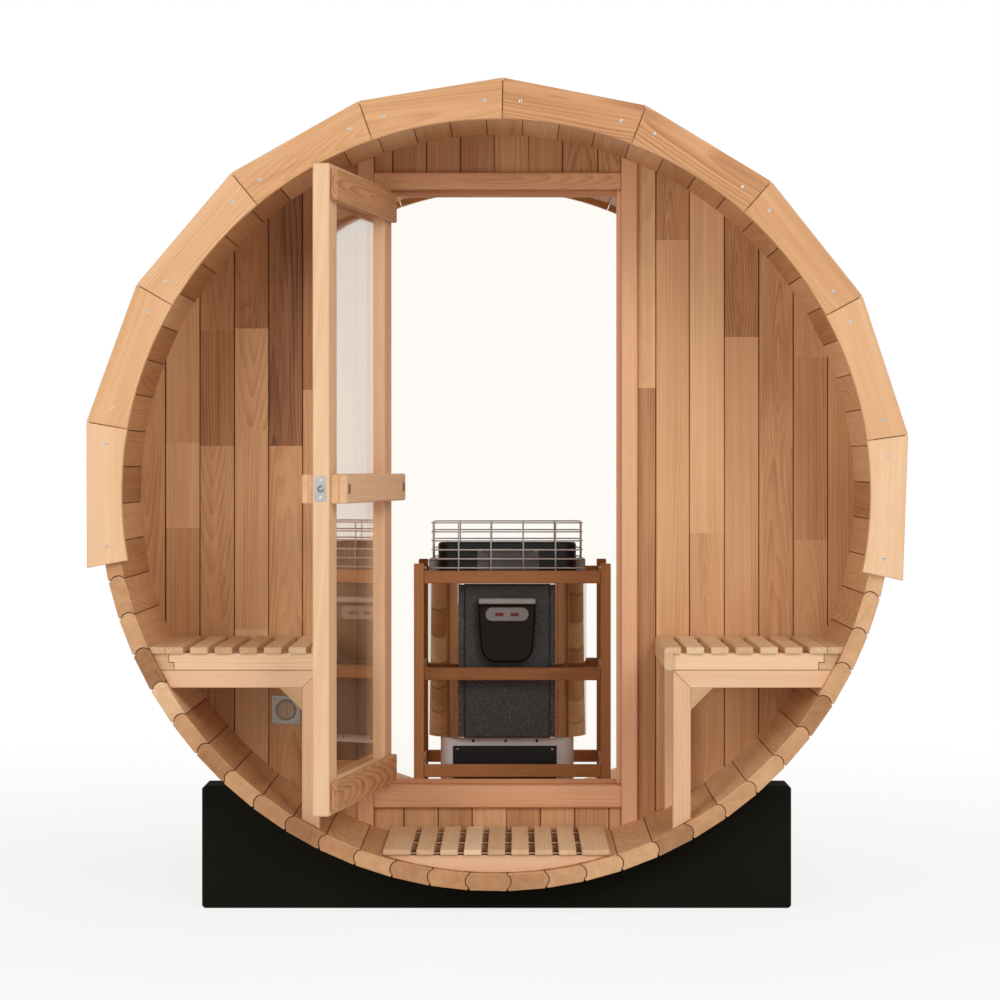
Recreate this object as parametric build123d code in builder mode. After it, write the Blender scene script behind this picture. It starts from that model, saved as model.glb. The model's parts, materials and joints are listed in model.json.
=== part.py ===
from build123d import *
from math import ceil, cos, hypot, radians, sin, sqrt, tan
import os

# A cedar barrel sauna with an open porch, a hinged glass door and a guarded heater.
# Lengths are millimetres and angles degrees. The front faces -Y, X runs to the right
# as seen from the front, and Z is up from the ground under the cradles.

# Barrel
BARREL_DIAMETER = 1828.8
BARREL_LENGTH = 1524
STAVE_COUNT = 64
STAVE_THICKNESS = 38
STAVE_TURN = -1.2
STAVE_GAP = 0.4
STAVE_CHAMFER = 3
BEAD_RISE = 9
BEAD_EDGE_INSIDE = 1.5
BEAD_EDGE_OUTSIDE = 4.5
CROZE_DEPTH = 9
HOOP_WIDTH = 25
HOOP_THICKNESS = 1.2
HOOP_PLACE_SHARES = (0.18, 0.82)

# Fits and cuts
SEAT_GAP = 0.3
OVERRUN = 20

# Cradles
CRADLE_WIDTH = 1378
CRADLE_THROAT = 56.6
CRADLE_ARM = 229.4
CRADLE_DEPTH = 100
CRADLE_SETBACK = 100
CRADLE_EASE = 6

# Roof and fascias
FACET_COUNT = 10
FACET_ANGLE = 20.25
ROOF_TURN = -0.9
ROOF_AIR_GAP = 6
ROOF_THICKNESS = 19
FACET_JOINT = 0.8
FASCIA_THICKNESS = 19
FASCIA_LIP = 17
ARCH_DEPTH = 38

# Front wall and vent
PORCH_DEPTH = 409
WALL_THICKNESS = 38
VENT_SIZE = 70
VENT_THICKNESS = 2
VENT_RADIUS = 22
VENT_BAR_WIDTH = 3
VENT_BAR_COUNT = 5
VENT_ACROSS = 520
VENT_RISE = 339.4

# Doorway
DOORWAY_WIDTH = 608
DOORWAY_HEAD_DROP = 133.4
DOORWAY_SILL_RISE = 154.4
JAMB_WIDTH = 40
CASING_PROUD = 14
CASING_DEPTH = 64
HEADER_HEIGHT = 40
SILL_HEIGHT = 54
STOP_WIDTH = 10
HEAD_STOP_HEIGHT = 15

# Door
DOOR_OPEN_ANGLE = 100.8
DOOR_THICKNESS = 38
DOOR_HINGE_GAP = 5
DOOR_LATCH_GAP = 8
DOOR_END_GAP = 6
STOP_GAP = 5
STILE_WIDTH = 70
RAIL_HEIGHT = 70
DOOR_EASE = 2
GLASS_THICKNESS = 8
GLASS_GROOVE = 10
GLASS_PLAY = 0.3
DOOR_BOARD_THICKNESS = 16
DOOR_BOARD_TOP_HEIGHT = 70
DOOR_BOARD_FOOT_HEIGHT = 65
DOOR_BOARD_INSET = 10
DOOR_BOARD_END_GAP = 11

# Door handles and latch
HANDLE_HEIGHT = 65
HANDLE_CENTRE = 12
HANDLE_END_INSET = 12
HANDLE_BLOCK_LENGTH = 44
HANDLE_INNER_BLOCK = 19
HANDLE_INNER_PLANK = 19
HANDLE_OUTER_BLOCK = 12
HANDLE_OUTER_PLANK = 16
HANDLE_EASE = 3
LATCH_HEIGHT = 58
LATCH_WIDTH = 28
LATCH_THICKNESS = 2
CATCH_RADIUS = 6
CATCH_TIP_RADIUS = 3
CATCH_PROUD = 2

# Door hinges
HINGE_COUNT = 3
HINGE_END_INSET = 165
HINGE_STANDOFF = 6
HINGE_HEIGHT = 90
HINGE_LEAF_WIDTH = 30
HINGE_LEAF_THICKNESS = 2
KNUCKLE_RADIUS = 4.5
KNUCKLE_PLAY = 0.4
HINGE_PIN_RADIUS = 2
HINGE_BORE_RADIUS = 2.3

# Porch benches
BENCH_RISE = 521.4
BENCH_EDGE = 387
BENCH_FRONT_SETBACK = 12
BENCH_WALL_GAP = 9
BENCH_SLAT_WIDTH = 40
BENCH_SLAT_THICKNESS = 15
BENCH_SLAT_PITCH = 56.8
BENCH_FIRST_SLAT = 439
BENCH_BACK_GAP = 1
SLAT_EASE = 2
NOSING_WIDTH = 39
NOSING_HEIGHT = 54
NOSING_LIP = 21
NOSING_CORNER_RADIUS = 10
CLEAT_HEIGHT = 39
CLEAT_DEPTH = 38
BENCH_RAIL_SETBACK = 21
BENCH_BEAM_HEIGHT = 40
BENCH_LEG_WIDTH = 41
BENCH_GUSSET_SIZE = 52

# Duckboard
DUCK_RISE = 54.4
DUCK_SLAT_COUNT = 7
DUCK_SLAT_WIDTH = 40
DUCK_SLAT_PITCH = 54.8
DUCK_SLAT_THICKNESS = 12
DUCK_SIDE_GAP = 13
DUCK_SIDE_WIDTH = 64
DUCK_BEARER_COUNT = 3
DUCK_BEARER_DEPTH = 38

# Rear window
PANE_THICKNESS = 10
PANE_SETBACK = 50

# Heater
HEATER_ACROSS = 22
HEATER_SETBACK = 65
HEATER_WIDTH = 426
HEATER_DEPTH = 250
HEATER_CORNER_RADIUS = 99
HEATER_HEIGHT = 435
HEATER_SHEET_THICKNESS = 3
PANEL_WIDTH = 228
PANEL_THICKNESS = 12
PANEL_DROP = 27
PANEL_EASE = 4
CONTROL_WIDTH = 150
CONTROL_DROP = 37
CONTROL_HEIGHT = 168
CONTROL_DEPTH = 35
CONTROL_SHOULDER = 60
CONTROL_FOOT_WIDTH = 132
CONTROL_CORNER_RADIUS = 40
CONTROL_EDGE = 8
HEATER_BASE_WIDTH = 355
HEATER_BASE_DEPTH = 225
HEATER_BASE_HEIGHT = 114
HEATER_BASE_CORNER_RADIUS = 25
HEATER_FOOT_HEIGHT = 103.4
HEATER_FOOT_RADIUS = 14
HEATER_FOOT_INSET = 40
TRAY_WIDTH = 369
TRAY_DEPTH = 200
TRAY_HEIGHT = 78
TRAY_CORNER_RADIUS = 30
CAGE_WIDTH = 405
CAGE_DEPTH = 232
CAGE_HEIGHT = 137
CAGE_CORNER_RADIUS = 25
CAGE_WIRE_WIDTH = 4
CAGE_LOOP_COUNT = 6
CAGE_LOOP_PITCH = 24
CAGE_LONG_COUNT = 4
CAGE_SHORT_COUNT = 2
CAGE_WIRE_PITCH = 86

# Heater guard
GUARD_ACROSS = 36
GUARD_REAR_GAP = 244
GUARD_WIDTH = 518
GUARD_DEPTH = 370
GUARD_HEIGHT = 681.4
GUARD_POST_WIDTH = 26
GUARD_RAIL_HEIGHT = 33
GUARD_RAIL_THICKNESS = 18
GUARD_RAIL_DROP = 19
GUARD_RAIL_COUNT = 3
GUARD_RAIL_PITCH = 255

# Worked out from the sizes above
OUTER = BARREL_DIAMETER / 2
BORE = OUTER - STAVE_THICKNESS
AXIS_HEIGHT = OUTER + CRADLE_THROAT
PITCH = 360 / STAVE_COUNT
HALF_STAVE = radians(PITCH / 2)
HALF_FACET = radians(FACET_ANGLE / 2)
STAVE_CORNER = hypot(OUTER, OUTER * tan(HALF_STAVE) - STAVE_CHAMFER)
ROOF_UNDER = OUTER + ROOF_AIR_GAP
ROOF_OVER = ROOF_UNDER + ROOF_THICKNESS
FASCIA_BORE = BORE - FASCIA_LIP
WALL_BACK = PORCH_DEPTH + WALL_THICKNESS
WALL_RADIUS = BORE + CROZE_DEPTH - SEAT_GAP
PANE_FRONT = BARREL_LENGTH - PANE_SETBACK - PANE_THICKNESS
CASING_FRONT = PORCH_DEPTH - CASING_PROUD
CASING_BACK = CASING_FRONT + CASING_DEPTH
JAMB_FACE = DOORWAY_WIDTH / 2
JAMB_BACK = JAMB_FACE + JAMB_WIDTH
DOORWAY_HEAD = BORE - DOORWAY_HEAD_DROP
DOORWAY_SILL = BORE - DOORWAY_SILL_RISE
VENT_DROP = BORE - VENT_RISE
VENT_BAR_PITCH = 2 * VENT_RADIUS / (VENT_BAR_COUNT + 1)

# The door in its own frame: across from the hinge pin, back from the pin, up from the barrel's axis
HALF_HINGE_GAP = DOOR_HINGE_GAP / 2
DOOR_NEAR = HALF_HINGE_GAP
DOOR_FAR = DOORWAY_WIDTH - HALF_HINGE_GAP - DOOR_LATCH_GAP
DOOR_OUT = HINGE_STANDOFF
DOOR_IN = DOOR_OUT + DOOR_THICKNESS
DOOR_TOP = DOORWAY_HEAD - DOOR_END_GAP
DOOR_FOOT = DOOR_END_GAP - DOORWAY_SILL
GLASS_FRONT = (DOOR_OUT + DOOR_IN - GLASS_THICKNESS) / 2
GLASS_BACK = GLASS_FRONT + GLASS_THICKNESS
STOP_FRONT = CASING_FRONT + DOOR_THICKNESS + STOP_GAP
BOARD_TOP = DOOR_TOP - DOOR_BOARD_END_GAP
BOARD_FOOT = DOOR_FOOT + DOOR_BOARD_END_GAP
HINGE_LOWEST = DOOR_FOOT + HINGE_END_INSET
HINGE_PITCH = (DOOR_TOP - HINGE_END_INSET - HINGE_LOWEST) / (HINGE_COUNT - 1)
HINGE_HEIGHTS = [HINGE_LOWEST + i * HINGE_PITCH for i in range(HINGE_COUNT)]
KNUCKLE_HEIGHT = HINGE_HEIGHT / 3

# The bench and duckboard run from the barrel's front to the front wall
BENCH_TOP = BORE - BENCH_RISE
BENCH_BACK = PORCH_DEPTH - BENCH_WALL_GAP
BENCH_REACH = sqrt(BORE**2 - BENCH_TOP**2)
BENCH_SLAT_COUNT = int((BENCH_REACH - BENCH_FIRST_SLAT) / BENCH_SLAT_PITCH)
CLEAT_TOP = -BENCH_TOP - BENCH_SLAT_THICKNESS
CLEAT_FOOT = CLEAT_TOP - CLEAT_HEIGHT
LEG_EDGE = BENCH_EDGE + NOSING_LIP
DUCK_TOP = BORE - DUCK_RISE
DUCK_UNDER = -DUCK_TOP - DUCK_SLAT_THICKNESS

# The guard stands a set way in front of the rear window, and the heater inside it
GUARD_FRONT = PANE_FRONT - GUARD_REAR_GAP - GUARD_DEPTH
GUARD_TOP = BORE - GUARD_HEIGHT
HEATER_FRONT = GUARD_FRONT + HEATER_SETBACK
HEATER_BOTTOM = BORE - HEATER_FOOT_HEIGHT - HEATER_BASE_HEIGHT
HEATER_TOP = HEATER_BOTTOM - HEATER_HEIGHT
PANEL_TOP = HEATER_TOP + PANEL_DROP
CONTROL_TOP = PANEL_TOP + CONTROL_DROP
HEATER_BACK = HEATER_FRONT + HEATER_DEPTH
HEATER_MIDDLE = (HEATER_FRONT + HEATER_BACK) / 2

# The origin lies under the middle of the whole part with the door standing open
OPEN = radians(DOOR_OPEN_ANGLE)
PIN_DEPTH = CASING_FRONT - HINGE_STANDOFF
PIN_ACROSS = HALF_HINGE_GAP - JAMB_FACE
DOOR_REACH = DOOR_FAR * sin(OPEN) - (DOOR_IN - DOOR_EASE) * cos(OPEN)
REAR_REACH = BARREL_LENGTH + FASCIA_THICKNESS
BARREL_FRONT = -(PIN_DEPTH - DOOR_REACH + REAR_REACH) / 2

# In these frames a place is given as across, back from the barrel's front, and up from its axis
barrel = Plane(origin=(0, BARREL_FRONT, AXIS_HEIGHT))
swing = Plane(
    origin=(PIN_ACROSS, BARREL_FRONT + PIN_DEPTH, AXIS_HEIGHT),
    x_dir=(cos(OPEN), -sin(OPEN), 0),
)
shut = Plane(origin=(PIN_ACROSS, BARREL_FRONT + PIN_DEPTH, AXIS_HEIGHT))


def upright(depth):
    """Plane that faces the front, with its origin on the barrel's axis."""
    return Plane(origin=(0, BARREL_FRONT + depth, AXIS_HEIGHT), x_dir=(1, 0, 0), z_dir=(0, -1, 0))


def level(height):
    """Plane that faces up, with its origin at the barrel's front."""
    return Plane(origin=(0, BARREL_FRONT, AXIS_HEIGHT + height))


def block(across, back, up, mode=Mode.ADD):
    """Square-cut piece between its low and high limits in each direction."""
    with Locations((sum(across) / 2, sum(back) / 2, sum(up) / 2)):
        Box(across[1] - across[0], back[1] - back[0], up[1] - up[0], mode=mode)


def trim_to_bore():
    """Cut the piece in hand to the round bore of the barrel."""
    with BuildSketch(upright(BARREL_LENGTH)) as bore:
        Circle(BORE - SEAT_GAP)
    extrude(bore.sketch, amount=BARREL_LENGTH, mode=Mode.INTERSECT)


def save(piece, name):
    """Name the piece and write it out."""
    piece.part.label = name
    export_step(piece.part, f"parts/{name}.step")


os.makedirs("parts", exist_ok=True)


# Staves: each has a bead on its upper edge, which the cove of the next one sits over


def joint_point(side, radius, shift):
    """Point on a joint of the bottom stave, moved across the joint by a shift."""
    return (
        side * (radius * sin(HALF_STAVE) + shift * cos(HALF_STAVE)),
        shift * sin(HALF_STAVE) - radius * cos(HALF_STAVE),
    )


def stave_outline(forms):
    """Section of the bottom stave; each side is a bead (1) or a cove (-1)."""
    low = BORE + BEAD_EDGE_INSIDE
    high = OUTER - BEAD_EDGE_OUTSIDE
    edge = OUTER - STAVE_CHAMFER
    back = -STAVE_GAP / 2
    inner, outer = [], []
    with BuildSketch() as outline:
        with BuildLine():
            for side, form in zip((-1, 1), forms):
                start = joint_point(side, low, back)
                crown = joint_point(side, (low + high) / 2, back + form * BEAD_RISE)
                end = joint_point(side, high, back)
                inner.append((side * (BORE * tan(HALF_STAVE) + back), -BORE))
                outer.append((side * (OUTER * tan(HALF_STAVE) - STAVE_CHAMFER), -OUTER))
                Line(inner[-1], start)
                ThreePointArc(start, crown, end)
                Polyline(end, joint_point(side, edge, back), outer[-1])
            Line(*inner)
            Line(*outer)
        make_face()
    return outline.sketch


foot_stave = stave_outline((1, 1))
right_stave = stave_outline((-1, 1))
left_stave = stave_outline((1, -1))
key_stave = stave_outline((-1, -1))


def stave_at(place):
    """Section for a stave, counted up from the bottom one on the right."""
    if place == 0:
        return foot_stave
    if place == STAVE_COUNT // 2:
        return key_stave
    return right_stave if place < STAVE_COUNT // 2 else left_stave


stave_groups = (
    "bottom",
    "lower_right",
    "right",
    "upper_right",
    "top",
    "upper_left",
    "left",
    "lower_left",
)
group_size = ceil(STAVE_COUNT / len(stave_groups))
crozes = ((PORCH_DEPTH, WALL_THICKNESS), (PANE_FRONT, PANE_THICKNESS))

for group, group_name in enumerate(stave_groups):
    first = group * group_size - group_size // 2
    with BuildPart() as staves:
        with BuildSketch(upright(BARREL_LENGTH)):
            for place in range(first, first + group_size):
                with Locations(Location((0, 0, 0), (0, 0, place * PITCH + STAVE_TURN))):
                    add(stave_at(place % STAVE_COUNT))
        extrude(amount=BARREL_LENGTH)
        for front, width in crozes:
            with BuildSketch(upright(front + width + SEAT_GAP)):
                Circle(BORE + CROZE_DEPTH)
                Circle(BORE - OVERRUN, mode=Mode.SUBTRACT)
            extrude(amount=width + 2 * SEAT_GAP, mode=Mode.SUBTRACT)
    save(staves, f"staves_{group_name}")

# Steel hoops that draw the staves together

with BuildPart() as hoops:
    for share in HOOP_PLACE_SHARES:
        with BuildSketch(upright(BARREL_LENGTH * share + HOOP_WIDTH / 2)):
            Circle(STAVE_CORNER + SEAT_GAP + HOOP_THICKNESS)
            Circle(STAVE_CORNER + SEAT_GAP, mode=Mode.SUBTRACT)
        extrude(amount=HOOP_WIDTH)
save(hoops, "barrel_hoops")

# Cradles: blocks hollowed to the barrel's outside

for name, front in (
    ("front_cradle", CRADLE_SETBACK),
    ("rear_cradle", BARREL_LENGTH - CRADLE_SETBACK - CRADLE_DEPTH),
):
    with BuildPart() as cradle:
        with BuildSketch(upright(front + CRADLE_DEPTH)):
            with Locations((0, -AXIS_HEIGHT)):
                Rectangle(CRADLE_WIDTH, CRADLE_THROAT + CRADLE_ARM, align=(Align.CENTER, Align.MIN))
            Circle(STAVE_CORNER + SEAT_GAP, mode=Mode.SUBTRACT)
        extrude(amount=CRADLE_DEPTH)
        chamfer(cradle.faces().sort_by(Axis.X)[-1].edges().filter_by(Axis.Y), CRADLE_EASE)
        chamfer(cradle.faces().sort_by(Axis.X)[0].edges().filter_by(Axis.Y), CRADLE_EASE)
    save(cradle, name)

# Roof: flat facets over arches, closed at both ends by a fascia of the same segments


def facet_outline(inner, outer, round_inside):
    """Section of the top facet between two distances from the barrel's axis."""
    half_joint = FACET_JOINT / 2
    if round_inside:
        inside = (inner * sin(HALF_FACET) - half_joint, inner * cos(HALF_FACET))
    else:
        inside = (inner * tan(HALF_FACET) - half_joint, inner)
    outside = (outer * tan(HALF_FACET) - half_joint, outer)
    with BuildSketch() as outline:
        with BuildLine():
            Polyline((-inside[0], inside[1]), (-outside[0], outside[1]), outside, inside)
            if round_inside:
                ThreePointArc((-inside[0], inside[1]), (0, inner), inside)
            else:
                Line((-inside[0], inside[1]), inside)
        make_face()
    return outline.sketch


def place_facets(outline, places):
    """Set facets round the barrel, counted from the left eave to the right one."""
    for place in places:
        turn = ((FACET_COUNT - 1) / 2 - place) * FACET_ANGLE + ROOF_TURN
        with Locations(Location((0, 0, 0), (0, 0, turn))):
            add(outline)


all_facets = range(FACET_COUNT)
fascia_outline = facet_outline(FASCIA_BORE, ROOF_OVER, True)
roof_outline = facet_outline(ROOF_UNDER, ROOF_OVER, False)
arch_outline = facet_outline(STAVE_CORNER + SEAT_GAP, ROOF_UNDER, True)

for name, back in (("front_fascia", 0), ("rear_fascia", REAR_REACH)):
    with BuildPart() as fascia:
        with BuildSketch(upright(back)):
            place_facets(fascia_outline, all_facets)
        extrude(amount=FASCIA_THICKNESS)
    save(fascia, name)

for name, places in (
    ("roof_left", all_facets[: FACET_COUNT // 2]),
    ("roof_right", all_facets[FACET_COUNT // 2 :]),
):
    with BuildPart() as roof:
        with BuildSketch(upright(BARREL_LENGTH)):
            place_facets(roof_outline, places)
        extrude(amount=BARREL_LENGTH)
    save(roof, name)

with BuildPart() as arches:
    for back in (ARCH_DEPTH, (BARREL_LENGTH + ARCH_DEPTH) / 2, BARREL_LENGTH):
        with BuildSketch(upright(back)):
            place_facets(arch_outline, all_facets)
        extrude(amount=ARCH_DEPTH)
save(arches, "roof_arches")

# Front wall: four panels round the doorway, let into the croze

wall_panels = (
    ("front_wall_left", (-OUTER, -JAMB_BACK), (-OUTER, OUTER)),
    ("front_wall_right", (JAMB_BACK, OUTER), (-OUTER, OUTER)),
    ("front_wall_head", (-JAMB_FACE, JAMB_FACE), (DOORWAY_HEAD + HEADER_HEIGHT, OUTER)),
    ("front_wall_foot", (-JAMB_FACE, JAMB_FACE), (-OUTER, -DOORWAY_SILL - SILL_HEIGHT)),
)
for name, across, up in wall_panels:
    with BuildPart(barrel) as panel:
        block(across, (PORCH_DEPTH, WALL_BACK), up)
        with BuildSketch(upright(WALL_BACK)):
            Circle(WALL_RADIUS)
        extrude(amount=WALL_THICKNESS, mode=Mode.INTERSECT)
        if name == "front_wall_left":
            with BuildSketch(upright(WALL_BACK)):
                with Locations((-VENT_ACROSS, -VENT_DROP)):
                    Circle(VENT_RADIUS)
            extrude(amount=WALL_THICKNESS, mode=Mode.SUBTRACT)
    save(panel, name)

with BuildPart() as vent:
    with BuildSketch(upright(PORCH_DEPTH)):
        with Locations((-VENT_ACROSS, -VENT_DROP)):
            Rectangle(VENT_SIZE, VENT_SIZE)
            Circle(VENT_RADIUS, mode=Mode.SUBTRACT)
            with GridLocations(VENT_BAR_PITCH, 0, VENT_BAR_COUNT, 1):
                Rectangle(VENT_BAR_WIDTH, 2 * VENT_RADIUS)
    extrude(amount=VENT_THICKNESS)
save(vent, "wall_vent")

# Door casing: posts cut to the bore at both ends, with a header, a sill and stops between them


def hinge_cuts(across, back):
    """Sink the hinge leaves flush."""
    for height in HINGE_HEIGHTS:
        reach = (height - HINGE_HEIGHT / 2, height + HINGE_HEIGHT / 2)
        block(across, back, reach, mode=Mode.SUBTRACT)


with BuildPart(barrel) as jambs:
    for across in ((-JAMB_BACK, -JAMB_FACE), (JAMB_FACE, JAMB_BACK)):
        block(across, (CASING_FRONT, CASING_BACK), (-OUTER, OUTER))
    trim_to_bore()
    hinge_cuts(
        (-JAMB_FACE - HINGE_LEAF_THICKNESS, -JAMB_FACE),
        (CASING_FRONT, CASING_FRONT + HINGE_LEAF_WIDTH),
    )
save(jambs, "door_jambs")

with BuildPart(barrel) as cross_pieces:
    for up in (
        (DOORWAY_HEAD, DOORWAY_HEAD + HEADER_HEIGHT),
        (-DOORWAY_SILL - SILL_HEIGHT, -DOORWAY_SILL),
    ):
        block((-JAMB_FACE, JAMB_FACE), (CASING_FRONT, CASING_BACK), up)
save(cross_pieces, "door_header_and_sill")

with BuildPart(barrel) as stops:
    stop_depth = (STOP_FRONT, CASING_BACK)
    stop_top = DOORWAY_HEAD - HEAD_STOP_HEIGHT
    for side in (-1, 1):
        across = sorted((side * JAMB_FACE, side * (JAMB_FACE - STOP_WIDTH)))
        block(across, stop_depth, (-DOORWAY_SILL, stop_top - SEAT_GAP))
    block((-JAMB_FACE, JAMB_FACE), stop_depth, (stop_top, DOORWAY_HEAD))
save(stops, "door_stops")

# Door: grooved stiles and rails hold the pane, with boards across the inner face

glass_far = DOOR_FAR - STILE_WIDTH
glass_near = DOOR_NEAR + STILE_WIDTH
groove_play = GLASS_GROOVE + GLASS_PLAY
pane_groove = (
    (glass_near - groove_play, glass_far + groove_play),
    (GLASS_FRONT - GLASS_PLAY, GLASS_BACK + GLASS_PLAY),
    (DOOR_FOOT + RAIL_HEIGHT - groove_play, DOOR_TOP - RAIL_HEIGHT + groove_play),
)
door_depth = (DOOR_OUT, DOOR_IN)

with BuildPart(swing) as stiles:
    for across in ((DOOR_NEAR, glass_near), (glass_far, DOOR_FAR)):
        block(across, door_depth, (DOOR_FOOT, DOOR_TOP))
    chamfer(stiles.edges().filter_by(Axis.Z), DOOR_EASE)
    block(*pane_groove, mode=Mode.SUBTRACT)
    hinge_cuts(
        (DOOR_NEAR, DOOR_NEAR + HINGE_LEAF_THICKNESS),
        (DOOR_OUT, DOOR_OUT + HINGE_LEAF_WIDTH),
    )
    block(
        (DOOR_FAR - LATCH_THICKNESS, DOOR_FAR),
        ((DOOR_OUT + DOOR_IN - LATCH_WIDTH) / 2, (DOOR_OUT + DOOR_IN + LATCH_WIDTH) / 2),
        (HANDLE_CENTRE - LATCH_HEIGHT / 2, HANDLE_CENTRE + LATCH_HEIGHT / 2),
        mode=Mode.SUBTRACT,
    )
save(stiles, "door_stiles")

with BuildPart(swing) as rails:
    for up in ((DOOR_TOP - RAIL_HEIGHT, DOOR_TOP), (DOOR_FOOT, DOOR_FOOT + RAIL_HEIGHT)):
        block((glass_near, glass_far), door_depth, up)
    block(*pane_groove, mode=Mode.SUBTRACT)
save(rails, "door_rails")

with BuildPart(swing) as pane:
    block(
        (glass_near - GLASS_GROOVE, glass_far + GLASS_GROOVE),
        (GLASS_FRONT, GLASS_BACK),
        (DOOR_FOOT + RAIL_HEIGHT - GLASS_GROOVE, DOOR_TOP - RAIL_HEIGHT + GLASS_GROOVE),
    )
save(pane, "door_glass")

with BuildPart(swing) as boards:
    for up in (
        (BOARD_TOP - DOOR_BOARD_TOP_HEIGHT, BOARD_TOP),
        (BOARD_FOOT, BOARD_FOOT + DOOR_BOARD_FOOT_HEIGHT),
    ):
        block(
            (DOOR_NEAR + DOOR_BOARD_INSET, DOOR_FAR - DOOR_BOARD_INSET),
            (DOOR_IN, DOOR_IN + DOOR_BOARD_THICKNESS),
            up,
        )
    chamfer(boards.faces().sort_by(Axis(swing.origin, swing.y_dir))[-2:].edges(), DOOR_EASE)
save(boards, "door_inner_boards")

# Handles: a plank held off each face by a block at either end

handle_up = (HANDLE_CENTRE - HANDLE_HEIGHT / 2, HANDLE_CENTRE + HANDLE_HEIGHT / 2)
handle_across = (DOOR_NEAR + HANDLE_END_INSET, DOOR_FAR - HANDLE_END_INSET)
for name, face, way, block_size, plank_size in (
    ("door_inner_handle", DOOR_IN, 1, HANDLE_INNER_BLOCK, HANDLE_INNER_PLANK),
    ("door_outer_handle", DOOR_OUT, -1, HANDLE_OUTER_BLOCK, HANDLE_OUTER_PLANK),
):
    with BuildPart(swing) as handle:
        plank_near = face + way * block_size
        plank_far = plank_near + way * plank_size
        block(handle_across, sorted((plank_near, plank_far)), handle_up)
        chamfer(handle.edges(), HANDLE_EASE)
        for start in (handle_across[0], handle_across[1] - HANDLE_BLOCK_LENGTH):
            block((start, start + HANDLE_BLOCK_LENGTH), sorted((face, plank_near)), handle_up)
    save(handle, name)

with BuildPart(swing) as latch:
    middle = (DOOR_OUT + DOOR_IN) / 2
    block(
        (DOOR_FAR - LATCH_THICKNESS, DOOR_FAR),
        (middle - LATCH_WIDTH / 2, middle + LATCH_WIDTH / 2),
        (HANDLE_CENTRE - LATCH_HEIGHT / 2, HANDLE_CENTRE + LATCH_HEIGHT / 2),
    )
    with Locations(Location((DOOR_FAR + CATCH_PROUD / 2, middle, HANDLE_CENTRE), (0, 90, 0))):
        Cone(CATCH_RADIUS, CATCH_TIP_RADIUS, CATCH_PROUD)
save(latch, "door_latch")

# Hinges: the door's leaf carries the middle knuckle, the jamb's leaf the outer ones and the pin


def knuckle(height, centre):
    """Length of hinge barrel about the pin."""
    with Locations((0, 0, centre)):
        Cylinder(KNUCKLE_RADIUS, height)


def leaf(side, height, tabs):
    """Leaf let into the wood, with a tab out to each of its knuckles."""
    across = sorted((side * HALF_HINGE_GAP, side * (HALF_HINGE_GAP + HINGE_LEAF_THICKNESS)))
    half = HINGE_HEIGHT / 2
    block(across, (HINGE_STANDOFF, HINGE_STANDOFF + HINGE_LEAF_WIDTH), (height - half, height + half))
    for centre, length in tabs:
        block(across, (0, HINGE_STANDOFF), (centre - length / 2, centre + length / 2))
        knuckle(length, centre)


with BuildPart(swing) as door_leaves:
    for height in HINGE_HEIGHTS:
        leaf(1, height, [(height, KNUCKLE_HEIGHT - KNUCKLE_PLAY)])
        with Locations((0, 0, height)):
            Cylinder(HINGE_BORE_RADIUS, HINGE_HEIGHT, mode=Mode.SUBTRACT)
save(door_leaves, "door_hinge_leaves")

with BuildPart(shut) as jamb_leaves:
    for height in HINGE_HEIGHTS:
        outer_knuckles = [
            (height + end * KNUCKLE_HEIGHT, KNUCKLE_HEIGHT - KNUCKLE_PLAY) for end in (-1, 1)
        ]
        leaf(-1, height, outer_knuckles)
        with Locations((0, 0, height)):
            Cylinder(HINGE_PIN_RADIUS, HINGE_HEIGHT)
save(jamb_leaves, "jamb_hinge_leaves")

# Porch benches: slats on two cleats, each cleat on a bracket that stands on the staves


def bench_depths(size):
    """Front and back limits of the two cross pieces under a bench."""
    front = BENCH_RAIL_SETBACK
    back = PORCH_DEPTH - BENCH_RAIL_SETBACK
    return ((front, front + size), (back - size, back))


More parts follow.
